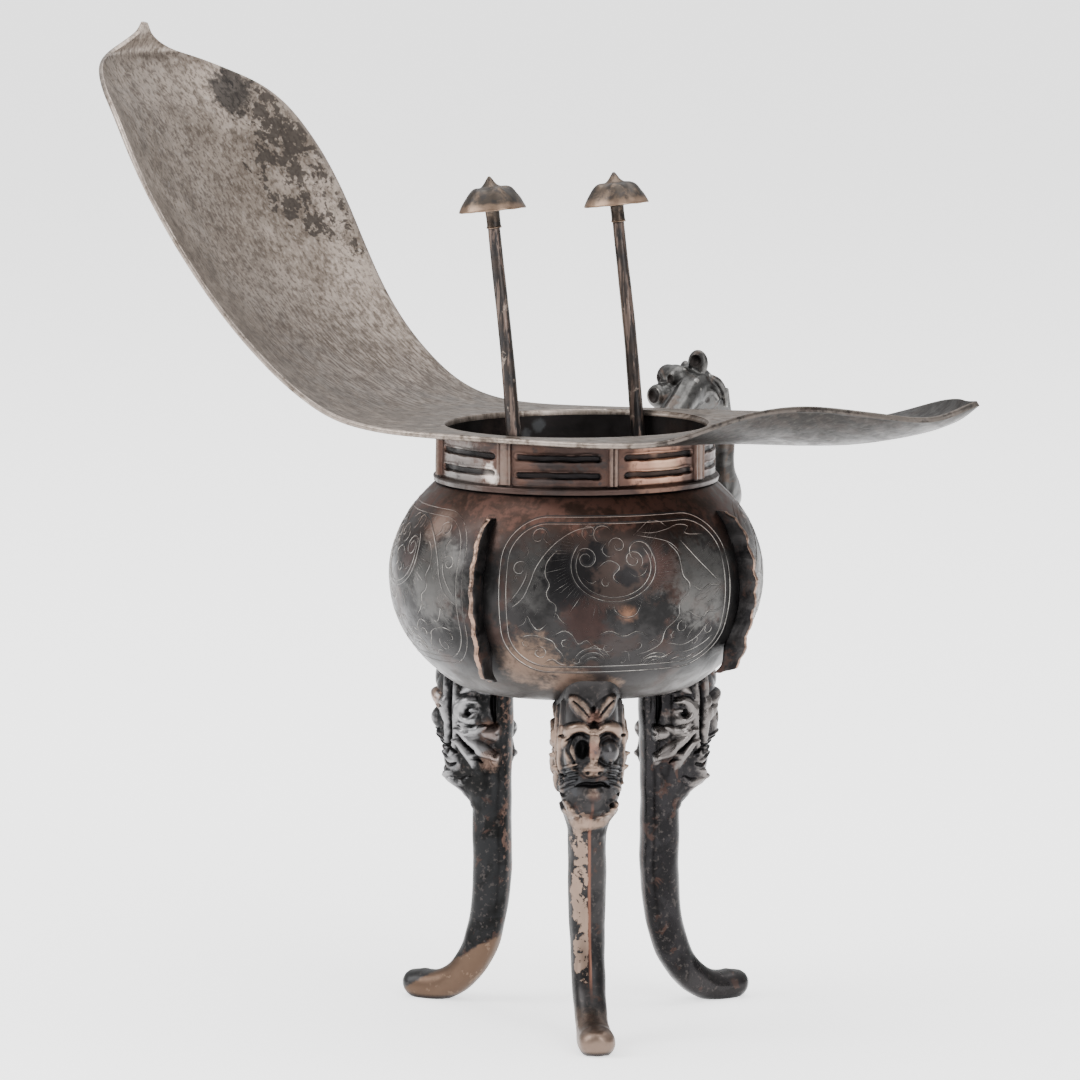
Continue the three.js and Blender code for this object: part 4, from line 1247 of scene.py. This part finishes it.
# The cap from its sleeve up: radius, height over a lobe, height between lobes
CAP_ROWS = [
    (1.16, -3.0, -3.0),
    (1.24, -2.85, -2.85),
    (1.14, -2.7, -2.7),
    (1.1, -0.9, -0.9),
    (1.25, -0.2, -0.2),
    (3.2, 0.0, 0.0),
    (5.1, -0.25, -0.25),
    (5.32, -0.22, -0.22),
    (5.35, -0.05, -0.05),
    (5.27, 0.16, 0.16),
    (5.0, 0.7, 0.66),
    (4.65, 1.35, 1.22),
    (4.2, 2.05, 1.8),
    (3.7, 2.75, 2.35),
    (3.15, 3.25, 2.8),
    (2.6, 3.45, 3.08),
    (2.05, 3.48, 3.25),
    (1.6, 3.52, 3.42),
    (1.2, 3.8, 3.77),
    (0.82, 4.25, 4.25),
    (0.45, 4.78, 4.78),
    (0.16, 5.15, 5.15),
]


def make_cap(name):
    foot, top, along = post_line(name)
    rows = through(CAP_ROWS, np.linspace(0, 1, CAP_STEPS))
    a = round_about(CAP_SIDES)[None, :]
    shift = 0.6 if name == "front" else 0.2
    petal = 0.5 + 0.5 * np.cos(CAP_LOBES * (a - shift))
    radius, over, between = rows[:, :1], rows[:, 1:2], rows[:, 2:3]
    height = between + (over - between) * petal
    waist = 1 - 0.03 * (1 - petal) * ease(radius, 1.6, 4)
    x = radius * waist * np.cos(a)
    y = radius * waist * np.sin(a)
    points = np.stack([x, y, height], -1)
    points += 0.04 * wobble(points, 2.4, 41)[..., None]
    side = np.cross([0.0, 1.0, 0.0], along)
    side /= np.linalg.norm(side)
    across = np.cross(along, side)
    rings = points[..., :1] * side + points[..., 1:2] * across + points[..., 2:] * along + top
    rim = ease(radius, 4.4, 5.3) * ease(height, -1.5, -0.5)
    sleeve = 0.35 * ease(height, -0.6, -1.2)
    joint = 1.4 * hump(height, -2.85, 0.14)
    skin = Skin().loft(rings, worn=rim - sleeve + joint)
    make_piece("cap_" + name + "_casting", skin, FINISHES["cap"], ["cap_" + name], sharp=70)


# A leg's centre line from inside the bowl's underside down to the toe: distance out and height
TOE = LEG_REACH - 1.2
LEG_PATH = [
    (SHAFT_REACH - 0.4, BOWL_FLOOR + 7),
    (SHAFT_REACH - 0.3, 48),
    (SHAFT_REACH, 38),
    (SHAFT_REACH, 29),
    (SHAFT_REACH, 22),
    (SHAFT_REACH + 0.8, 15),
    (SHAFT_REACH + 2.7, 9),
    (SHAFT_REACH + 0.36 * (TOE - SHAFT_REACH), 4.6),
    (SHAFT_REACH + 0.6 * (TOE - SHAFT_REACH), 2.4),
    (SHAFT_REACH + 0.84 * (TOE - SHAFT_REACH), 2.3),
    (TOE, 3.6),
]
LEG_SHARE = [(0, 1), (0.55, 1), (0.7, 0.93), (0.84, 0.82), (0.95, 0.82), (1, 0.56)]
LEG_WIDTH_SHARE = [(0, 1), (0.5, 1), (0.72, 0.88), (0.84, 0.84), (0.95, 0.95), (1, 0.8)]
SHAFT_FACE = SHAFT_REACH + LEG_HALF_DEPTH
MASK_OUTER = [
    (CHIN, SHAFT_FACE),
    (CHIN + 0.1 * MASK_DROP, SHAFT_FACE + 0.4),
    (CHIN + 0.24 * MASK_DROP, MASK_FACE - 1.6),
    (CHIN + 0.36 * MASK_DROP, MASK_FACE - 1.2),
    (CHIN + 0.46 * MASK_DROP, MASK_FACE - 1.3),
    (CHIN + 0.56 * MASK_DROP, MASK_FACE),
    (CHIN + 0.9 * MASK_DROP, MASK_FACE + 0.1),
    (CHIN + 1.2 * MASK_DROP, MASK_FACE - 1),
]
MASK_SIDE = [
    (CHIN, LEG_HALF_WIDTH),
    (CHIN + 0.2 * MASK_DROP, LEG_HALF_WIDTH + 0.55 * (MASK_HALF_WIDTH - LEG_HALF_WIDTH)),
    (CHIN + 0.45 * MASK_DROP, MASK_HALF_WIDTH - 0.2),
    (CHIN + 0.6 * MASK_DROP, MASK_HALF_WIDTH),
    (CHIN + 1.2 * MASK_DROP, MASK_HALF_WIDTH),
]


class Relief:
    """Carving drawn on a face in millimetres: ridges, grooves and domes, summed at each point."""

    def __init__(self, across, up):
        self.across = across
        self.up = up
        self.height = np.zeros_like(across)

    def dome(self, centre, radii, rise, both=False):
        for side in (1, -1) if both else (1,):
            d = ((self.across - side * centre[0]) / radii[0]) ** 2 + ((self.up - centre[1]) / radii[1]) ** 2
            self.height += rise * np.clip(1 - d, 0, 1) ** 0.75 * np.exp(-0.2 * d)
        return self

    def ridge(self, path, half_width, rise, both=False, taper=True):
        """A rounded ridge, or a groove where rise is below 0, along a smooth path."""
        line = evenly(path, 10 * len(path)) if len(path) > 2 else np.asarray(path, float)
        for side in (1, -1) if both else (1,):
            nearest = np.full(self.across.shape, 1e9)
            for k in range(len(line) - 1):
                (ax, ay), (bx, by) = line[k] * [side, 1], line[k + 1] * [side, 1]
                dx, dy = bx - ax, by - ay
                t = np.clip(((self.across - ax) * dx + (self.up - ay) * dy) / (dx * dx + dy * dy), 0, 1)
                away = np.hypot(self.across - ax - t * dx, self.up - ay - t * dy)
                share = (k + t) / (len(line) - 1)
                width = half_width * (1 - 0.6 * np.abs(2 * share - 1) ** 3) if taper else half_width
                nearest = np.minimum(nearest, away / width)
            self.height += rise * np.clip(1 - nearest * nearest, 0, 1) ** 0.7
        return self

    def curl(self, centre, radius, start, turns, half_width, rise, both=False):
        return self.ridge(curl(centre, radius, start, turns, 0.2), half_width, rise, both)


def mask_front(across, up):
    """The beast's face, seen from in front: across from its middle line, up from its chin."""
    face = Relief(across, up)
    face.ridge([(0.5, 19.4), (1.6, 21.0), (3.2, 22.8)], 1.4, 0.6, both=True)
    face.ridge([(0.8, 20.0), (1.8, 21.3), (3.0, 22.5)], 0.2, -0.4, both=True)
    face.ridge([(0, 18.4), (0, 21.5)], 0.35, -0.5)
    face.ridge([(0.5, 17.4), (1.6, 18.3), (3.1, 18.1), (4.3, 16.8), (4.9, 14.2)], 1.0, 1.0, both=True)
    face.ridge([(1.0, 16.6), (2.4, 17.3), (3.8, 16.1)], 0.2, -0.4, both=True)
    face.dome((2.5, 14.3), (2.3, 2.6), -0.9)
    face.dome((2.5, 14.2), (1.9, 2.1), 1.9)
    face.dome((-1.8, 14.7), (1.05, 1.65), -1.6)
    face.dome((-3.7, 13.9), (1.4, 3.1), 0.75)
    face.ridge([(-2.9, 12.4), (-3.6, 14.6), (-3.2, 16.6)], 0.25, -0.45)
    face.ridge([(0, 18.0), (0.1, 15.5), (0, 12.2)], 1.0, 1.0)
    face.ridge([(0, 17.2), (0, 13.2)], 0.2, -0.35)
    face.dome((0, 11.2), (2.0, 1.5), 0.9)
    face.dome((0.9, 10.8), (0.4, 0.36), -0.8, both=True)
    for y, long in ((12.3, 5.0), (11.4, 5.1), (10.5, 5.0), (9.6, 4.8), (8.7, 4.6)):
        face.ridge([(2.3, y), (3.5, y - 0.4), (long, y - 1.6)], 0.28, 0.4, both=True)
    face.dome((0, 7.3), (1.7, 1.5), 0.6)
    face.ridge([(-2.6, 8.6), (-1.2, 8.9), (0, 8.7), (1.3, 8.9), (2.7, 8.4)], 0.4, -0.7)
    face.ridge([(-3.8, 5.8), (-2.9, 3.4), (-1.3, 2.0), (0.6, 1.9), (2.4, 3.0), (3.6, 5.4)], 1.25, 0.9)
    for x, y in ((-3.0, 4.9), (-2.2, 3.7), (-1.1, 3.1), (0.1, 2.9), (1.2, 3.3), (2.1, 4.1)):
        face.dome((x, y), (0.5, 0.5), 0.4)
    face.dome((2.9, 5.5), (0.95, 0.95), 0.5)
    face.dome((2.9, 5.5), (0.42, 0.42), -0.9)
    return face.height


def mask_side(out, up):
    """The side of the beast's head: out from the shaft's middle line, up from its chin."""
    side = Relief(out, up)
    side.dome((1.5, 14), (5.5, 9), 0.35)
    side.ridge([(6.2, 22), (6.1, 16), (5.6, 11.6), (6.4, 8.8)], 0.9, 0.7)
    side.ridge([(4.2, 21), (4.0, 16), (3.9, 11.8), (4.9, 8.6)], 0.75, 0.5)
    side.ridge([(5.2, 21), (5.1, 16), (4.8, 11.8), (5.7, 8.8)], 0.25, -0.6)
    side.ridge([(9, 16.9), (6.4, 16.6)], 0.3, -0.6)
    side.curl((1.4, 16.0), 2.2, 120, -1.0, 0.95, 0.8)
    side.dome((1.5, 15.8), (0.8, 0.8), -0.6)
    side.ridge([(-1.4, 19.2), (0.7, 20.6), (2.9, 19.2)], 0.85, 0.5)
    side.ridge([(-0.8, 13.8), (1.0, 12.9), (3.0, 14.0)], 0.7, 0.5)
    for x in (-1.7, -2.8, -3.7):
        side.ridge([(x, 21), (x + 0.1, 17), (x - 0.1, 14.4)], 0.36, -0.8)
    side.dome((-2.2, 12.7), (1.7, 1.5), 1.1)
    side.dome((-2.2, 12.7), (0.45, 0.4), -0.4)
    side.ridge([(3.4, 13.2), (1.8, 11.9), (0.1, 10.6), (-1.3, 9.2), (-2.9, 8.4)], 0.95, 0.85)
    side.ridge([(3.9, 11.2), (2.5, 9.8), (1.2, 8.4), (0.3, 6.6)], 0.8, 0.6)
    side.ridge([(3.6, 12.2), (1.9, 10.7), (0.5, 9.2), (-0.5, 7.9)], 0.25, -0.7)
    side.dome((-2.7, 8.2), (1.4, 1.3), 1.0)
    side.dome((5.4, 7.2), (2.4, 2.3), 0.7)
    side.ridge([(7.4, 9.7), (5.4, 10.1), (3.9, 9.0)], 0.35, -0.7)
    side.ridge([(6.6, 7.6), (5.2, 6.9), (3.8, 7.4)], 0.3, -0.6)
    side.ridge([(5.4, 4.6), (3.4, 4.2), (1.8, 5.2)], 0.7, 0.5)
    return side.height


MASK_SHARE = 0.36  # of the leg's path that is drawn finely for the mask


def leg_skin():
    """Rings down a leg that stands out to +X, and how proud its carving is."""
    dense = evenly(LEG_PATH, 1500)
    run = np.linspace(0, 1, len(dense))
    places = np.concatenate([
        np.linspace(0, MASK_SHARE, MASK_STEPS, endpoint=False),
        np.linspace(MASK_SHARE, 1, SHAFT_STEPS),
    ])
    middle = read_along(places, run, dense)
    ahead = read_along(places, run, ahead_of(dense))
    ahead /= np.linalg.norm(ahead, axis=1)[:, None]
    out = np.stack([-ahead[:, 1], ahead[:, 0]], 1)
    level = middle[:, 1]
    share = smooth_row(LEG_SHARE, places)
    in_mask = level > CHIN
    front = np.where(in_mask, smooth_row(MASK_OUTER, level) - middle[:, 0], LEG_HALF_DEPTH * share)
    narrow = LEG_HALF_WIDTH * smooth_row(LEG_WIDTH_SHARE, places)
    side = np.where(in_mask, smooth_row(MASK_SIDE, level), narrow)
    tip = np.sqrt(1 - np.clip((places - 0.968) / 0.032, 0, 0.995) ** 2)
    a = round_about(LEG_SIDES)[None, :]
    cosine, sine = np.cos(a), np.sin(a)
    deep = np.where(cosine > 0, front[:, None], (LEG_HALF_DEPTH * share)[:, None])
    power = np.where(in_mask[:, None] & (cosine > 0), 0.62, 0.9)
    x = boxy(cosine, power) * deep
    half_width = side[:, None] + (narrow - side)[:, None] * ease(-cosine, -0.1, 0.5)
    y = boxy(sine, power) * half_width
    up = (level - CHIN)[:, None] + 0 * a
    facing = ease(x / np.maximum(front[:, None], 1), 0.45, 0.95)
    sideways = ease(np.abs(y) / half_width, 0.62, 0.93)
    fade = ease(up, -0.5, 2)
    carved = mask_front(y, up) * facing + mask_side(x, up) * sideways * (1 - 0.7 * facing)
    ridge = 0.28 * hump(y, 0, 0.5) * (cosine > 0) * (1 - fade) * ease(level[:, None], 8, 16)
    lift = carved * fade + ridge
    length = np.hypot(cosine, sine * 0.9)
    x = (x + lift * cosine / length) * tip[:, None]
    y = (y + lift * sine / length) * tip[:, None]
    rings = np.stack([middle[:, :1] + out[:, :1] * x, y, middle[:, 1:] + out[:, 1:] * x - FOOT_SPOT], -1)
    rings += 0.05 * wobble(rings, 4, 51)[..., None] * np.stack([cosine, sine, 0 * a], -1)
    rings[..., 2] = np.maximum(rings[..., 2], 0)
    return rings, carved * fade


def make_leg(name, finish):
    rings, worn = leg_skin()
    skin = Skin().loft(rings, worn=worn).turned(LEG_ANGLES[name])
    make_piece(name + "_casting", skin, finish, [name], sharp=80)


# The handle: a strap from the collar up to the beast's chest, over and down to the bowl
STRAP_MIDDLE = STRAP_REACH - STRAP_THICKNESS / 2
STRAP_FOOT = CHEST_LEVEL - GRIP_DEPTH - 6
STRAP_PATH = [
    (COLLAR_RADIUS - 0.2, CHEST_LEVEL - 6.2),
    (28, CHEST_LEVEL - 5.4),
    (33.5, CHEST_LEVEL - 2),
    (39, CHEST_LEVEL + 0.6),
    (44.2, CHEST_LEVEL - 1.4),
    (STRAP_MIDDLE, CHEST_LEVEL - 7),
    (STRAP_MIDDLE, CHEST_LEVEL - 12.5),
    (STRAP_MIDDLE + 0.6, CHEST_LEVEL - 17),
    (STRAP_MIDDLE - 1.4, CHEST_LEVEL - 22),
    (STRAP_MIDDLE - 7, CHEST_LEVEL - GRIP_DEPTH - 3),
    (BOWL_RADIUS + 4, STRAP_FOOT),
    (BOWL_RADIUS - 2, STRAP_FOOT - 0.8),
]
STRAP_DEEP = [(0, 1), (0.18, 1.05), (0.28, 1.55), (0.42, 1.1), (0.5, 1), (0.85, 0.95), (1, 1.15)]
SCROLL_LEVEL = CHEST_LEVEL - 18
# The skull from its back to the nose: place along it, height, half-height and half-width, as shares of the
# head's length, height and width
HEAD_ROWS = [
    (-0.06, 0.36, 0.16, 0.2),
    (0, 0.34, 0.3, 0.4),
    (0.16, 0.42, 0.42, 0.48),
    (0.34, 0.44, 0.44, 0.5),
    (0.5, 0.42, 0.4, 0.46),
    (0.62, 0.38, 0.33, 0.38),
    (0.74, 0.36, 0.25, 0.31),
    (0.86, 0.36, 0.21, 0.31),
    (0.96, 0.37, 0.19, 0.29),
    (1.01, 0.38, 0.1, 0.16),
]


def strap_rings():
    middle = evenly(STRAP_PATH, STRAP_STEPS)
    ahead = ahead_of(middle)
    out = np.stack([-ahead[:, 1], ahead[:, 0]], 1)
    scroll = SCROLL_REACH * hump(middle[:, 1], SCROLL_LEVEL, 2.4) * (middle[:, 0] > STRAP_MIDDLE - 4)
    deep = STRAP_THICKNESS / 2 * smooth_row(STRAP_DEEP, np.linspace(0, 1, STRAP_STEPS))
    a = round_about(STRAP_SIDES)[None, :]
    cosine, sine = np.cos(a), np.sin(a)
    x = boxy(sine, 0.75) * STRAP_WIDTH / 2
    spine = 0.35 * hump(x, 0, 0.45) - 0.3 * hump(np.abs(x), 1.1, 0.3)
    off = cosine * deep[:, None] + np.maximum(0, cosine) * (scroll[:, None] + spine)
    return np.stack([x + 0 * off, middle[:, :1] + out[:, :1] * off, middle[:, 1:] + out[:, 1:] * off], -1)


JAW = [(7.6, 3.3, 1.2), (6.9, 3.7, 2.0), (5.3, 4.0, 3.2), (3.8, 3.9, 4.2), (2.7, 3.8, 4.1), (0.8, 3.4, 2.6)]
MANE = [(3.0, 3.3, 6.8), (0.9, 3.5, 5.6), (-0.6, 3.3, 3.4), (-1.0, 3.1, 1.2)]


def head_skin():
    """The beast's head along its own line, from the back of the skull at 0 to the nose."""
    head = Skin()
    a = round_about(HEAD_SIDES)[None, :]
    rows = through(HEAD_ROWS, np.linspace(0, 1, HEAD_STEPS))
    x = rows[:, :1] * HEAD_LENGTH + 0 * a
    y = np.cos(a) * rows[:, 3:] * HEAD_WIDTH
    z = (rows[:, 1:2] + np.sin(a) * rows[:, 2:3]) * HEAD_HEIGHT
    head.loft(np.stack([x, y, z], -1))
    head.ball((7.3, 0, 6.7), (2.3, 2.0, 1.9))
    head.ball((11.1, 0, 3.8), (0.95, 2.0, 1.75))
    head.ball((9.2, 0, 1.7), (2.2, 1.9, 0.7))
    for side in (-1, 1):
        head.ball((7.6, 1.5 * side, 6.4), (2.2, 1.8, 2.15), turn=-0.3 * side)
        head.ball((6.2, 2.4 * side, 3.8), (2.9, 1.6, 2.6), turn=-0.2 * side)
        head.ball((9.0, 1.3 * side, 3.2), (2.4, 1.3, 1.6), turn=-0.25 * side)
        head.ball((9.7, 1.1 * side, 4.4), (1.5, 1.1, 1.1))
        head.tube([(x, y * side, z) for x, y, z in JAW], [0.35, 0.5, 0.55, 0.55, 0.5, 0.3])
        head.tube([(x, y * side, z) for x, y, z in MANE], [0.4, 0.6, 0.6, 0.4])
    head.ball((4.3, 2.3, 8.8), (1.0, 1.8, 2.25), turn=0.5)
    head.ball((3.0, -2.6, 6.9), (1.0, 1.6, 1.9), turn=-0.5)
    return head


# Hollows in the head: middle in the head's own line and reach
HEAD_HOLLOWS = [
    (5.6, 2.85, 9.3, 1.1),
    (4.1, -3.1, 7.4, 1.0),
    (13.0, 0.25, 3.75, 1.55),
    (10.15, 1.6, 6.5, 0.8),
    (10.15, -1.6, 6.5, 0.8),
    (8.3, 4.15, 3.9, 0.7),
    (8.3, -4.15, 3.9, 0.7),
    (3.1, 4.6, 2.2, 1.2),
]


def dent(piece, hollows):
    """Pushes the skin back out of each round hollow, and marks it as deep."""
    mesh = piece.data
    corners = np.empty(3 * len(mesh.vertices))
    mesh.vertices.foreach_get("co", corners)
    corners = (corners.reshape(-1, 3) - AXIS) / MM
    deep = np.zeros(len(corners))
    for hollow in hollows:
        away = corners - hollow[:3]
        length = np.linalg.norm(away, axis=1)
        inside = length < hollow[3]
        deep = np.maximum(deep, 1 - ease(length, hollow[3], hollow[3] + 0.15))
        corners[inside] = hollow[:3] + away[inside] * (hollow[3] / np.maximum(length[inside], 0.05))[:, None]
    mesh.vertices.foreach_set("co", (corners * MM + AXIS).ravel())
    mesh.attributes.new("worn", "FLOAT", "POINT").data.foreach_set("value", -deep)
    mesh.update()


def make_handle():
    place = (-90 - HEAD_TURN, (0, STRAP_MIDDLE - HEAD_BACK, MOUTH_LEVEL - HEAD_SINK))
    skin = Skin().loft(strap_rings())
    head = head_skin().turned(*place)
    skin.add(np.vstack(head.corners), head.faces)
    for x in (-1.5, 0, 1.5):
        nape = [(0.4, 46.2, MOUTH_LEVEL + 1.6), (0, 48.2, MOUTH_LEVEL - 4), (0, 48.6, MOUTH_LEVEL - 9)]
        skin.tube([(px + x, py, pz) for px, py, pz in nape], [0.7, 0.75, 0.5])
    handle = make_piece("handle_casting", skin, handle_finish(), ["handle"])
    fuse(handle, HANDLE_GRAIN)
    hollows = Skin().add(np.array(HEAD_HOLLOWS)[:, :3], []).turned(*place)
    dent(handle, np.column_stack([hollows.corners[0], np.array(HEAD_HOLLOWS)[:, 3]]))


def make_flange(name, angle, finish):
    share = np.linspace(0, 1.03, FLANGE_STEPS)
    level = BOWL_TOP - FLANGE_DROP - FLANGE_HEIGHT * share
    wave = (share * FLANGE_NOTCHES) % 1
    notch = FLANGE_NOTCH_DEPTH * (1 - np.abs(2 * wave - 1)) ** 0.8
    draw = np.random.default_rng(70 + angle % 7)
    notch = notch + 0.1 * np.interp(share, np.linspace(0, 1.03, 60), draw.uniform(-1, 1, 60))
    hook = FLANGE_HOOK * ease(share, 0.7, 1)
    reach = FLANGE_REACH * (0.55 + 0.45 * ease(share, 0, 0.05)) * (1 - 0.55 * ease(share, 0.99, 1.03))
    root = bowl_radius_at(level)
    outer = root + reach - notch + hook
    inner = root - 0.15 + hook * 1.15 * ease(share, 0.8, 1)
    a = round_about(FLANGE_SIDES)[None, :]
    middle, half = ((outer + inner) / 2)[:, None], ((outer - inner) / 2)[:, None]
    x = middle + half * boxy(np.cos(a), FLANGE_SQUARENESS)
    outward = ease(np.cos(a), -0.9, 0.9)
    thick = FLANGE_THICKNESS / 2 * (1 - 0.12 * np.sin(wave * math.pi))[:, None] * (1 - 0.4 * outward)
    y = thick * boxy(np.sin(a), FLANGE_SQUARENESS)
    rings = np.stack([x, y, level[:, None] + 0 * x], -1)
    rings += 0.05 * wobble(rings, 3, 61 + angle % 7)[..., None]
    edge = ease((x - middle) / half, 0.8, 0.99)
    skin = Skin().loft(rings, worn=0.8 * edge).turned(angle)
    make_piece(name + "_casting", skin, finish, [name], sharp=45)


FINISHES = {"post": post_finish(), "cap": cap_finish(), "flange": flange_finish()}
LEG_FINISHES = {
    "leg_spout": spout_leg_finish(),
    "leg_front": front_leg_finish(),
    "leg_back": back_leg_finish(),
}

make_bowl()
make_chasing()
make_collar()
make_sheet()
for post in POST_HEIGHTS:
    make_post(post)
    make_cap(post)
for leg, leg_tarnish in LEG_FINISHES.items():
    make_leg(leg, leg_tarnish)
make_handle()
for flange, flange_angle in FLANGE_ANGLES.items():
    make_flange(flange, flange_angle, FINISHES["flange"])

# Floor and light


FLOOR_RINGS = (0.05, 0.4, 2, 14)  # in metres


def make_floor():
    mesh = bpy.data.meshes.new("studio_floor")
    corners = [(r * math.cos(a), r * math.sin(a), 0) for r in FLOOR_RINGS for a in round_about(FLOOR_SIDES)]
    faces = [(0, 1 + k, 1 + (k + 1) % FLOOR_SIDES) for k in range(FLOOR_SIDES)]
    for first in range(1, FLOOR_SIDES * (len(FLOOR_RINGS) - 1), FLOOR_SIDES):
        for k in range(FLOOR_SIDES):
            here, ahead = first + k, first + (k + 1) % FLOOR_SIDES
            faces.append((here, here + FLOOR_SIDES, ahead + FLOOR_SIDES, ahead))
    mesh.from_pydata([(0, 0, 0)] + corners, [], faces)
    finish = Finish("pale_floor")
    here = finish.node("TexCoord", {}, {}, "Object")
    mottle = finish.noise(here, 0.4, 2)
    tone = finish.blend(mottle, (0.9, 0.9, 0.9), (0.92, 0.92, 0.92))
    finish.close(tone, 0.8, 0.0, finish.bump(mottle, 0.01), gloss=0.1, glow=1.3)
    mesh.materials.append(finish.material)
    floor = bpy.data.objects.new("studio_floor", mesh)
    bpy.context.scene.collection.objects.link(floor)


# The lights: place and size in metres, and watts
LIGHTS = {
    "left_box": ((-0.75, -0.75, 0.75), (0.7, 0.9), 14),
    "right_box": ((0.95, -0.5, 0.55), (0.5, 0.8), 8),
    "top_box": ((0.0, 0.15, 1.2), (1.2, 1.0), 14),
}
LIGHT_AIM = (0, 0, 0.08)


def make_light(name, place, size, watts):
    data = bpy.data.lights.new(name, "AREA")
    data.shape = "RECTANGLE"
    data.size, data.size_y = size
    data.energy = watts
    light = bpy.data.objects.new(name, data)
    light.location = place
    light.rotation_mode = "QUATERNION"
    light.rotation_quaternion = (Vector(LIGHT_AIM) - Vector(place)).to_track_quat("-Z", "Y")
    bpy.context.scene.collection.objects.link(light)


def make_world():
    """A pale room that is brightest overhead."""
    world = bpy.data.worlds.new("studio")
    world.use_nodes = True
    room = Nodes(world.node_tree)
    way = room.node("TexCoord", {}, {}, "Generated")
    glow = room.part(way, "Z").span(-0.1, 1.0) * 0.9 + 0.5
    light = room.node("Background", {}, {"Color": (1, 1, 1, 1), "Strength": glow})
    room.node("OutputWorld", {}, {"Surface": light})
    bpy.context.scene.world = world


make_floor()
make_world()
for box, row in LIGHTS.items():
    make_light(box, *row)
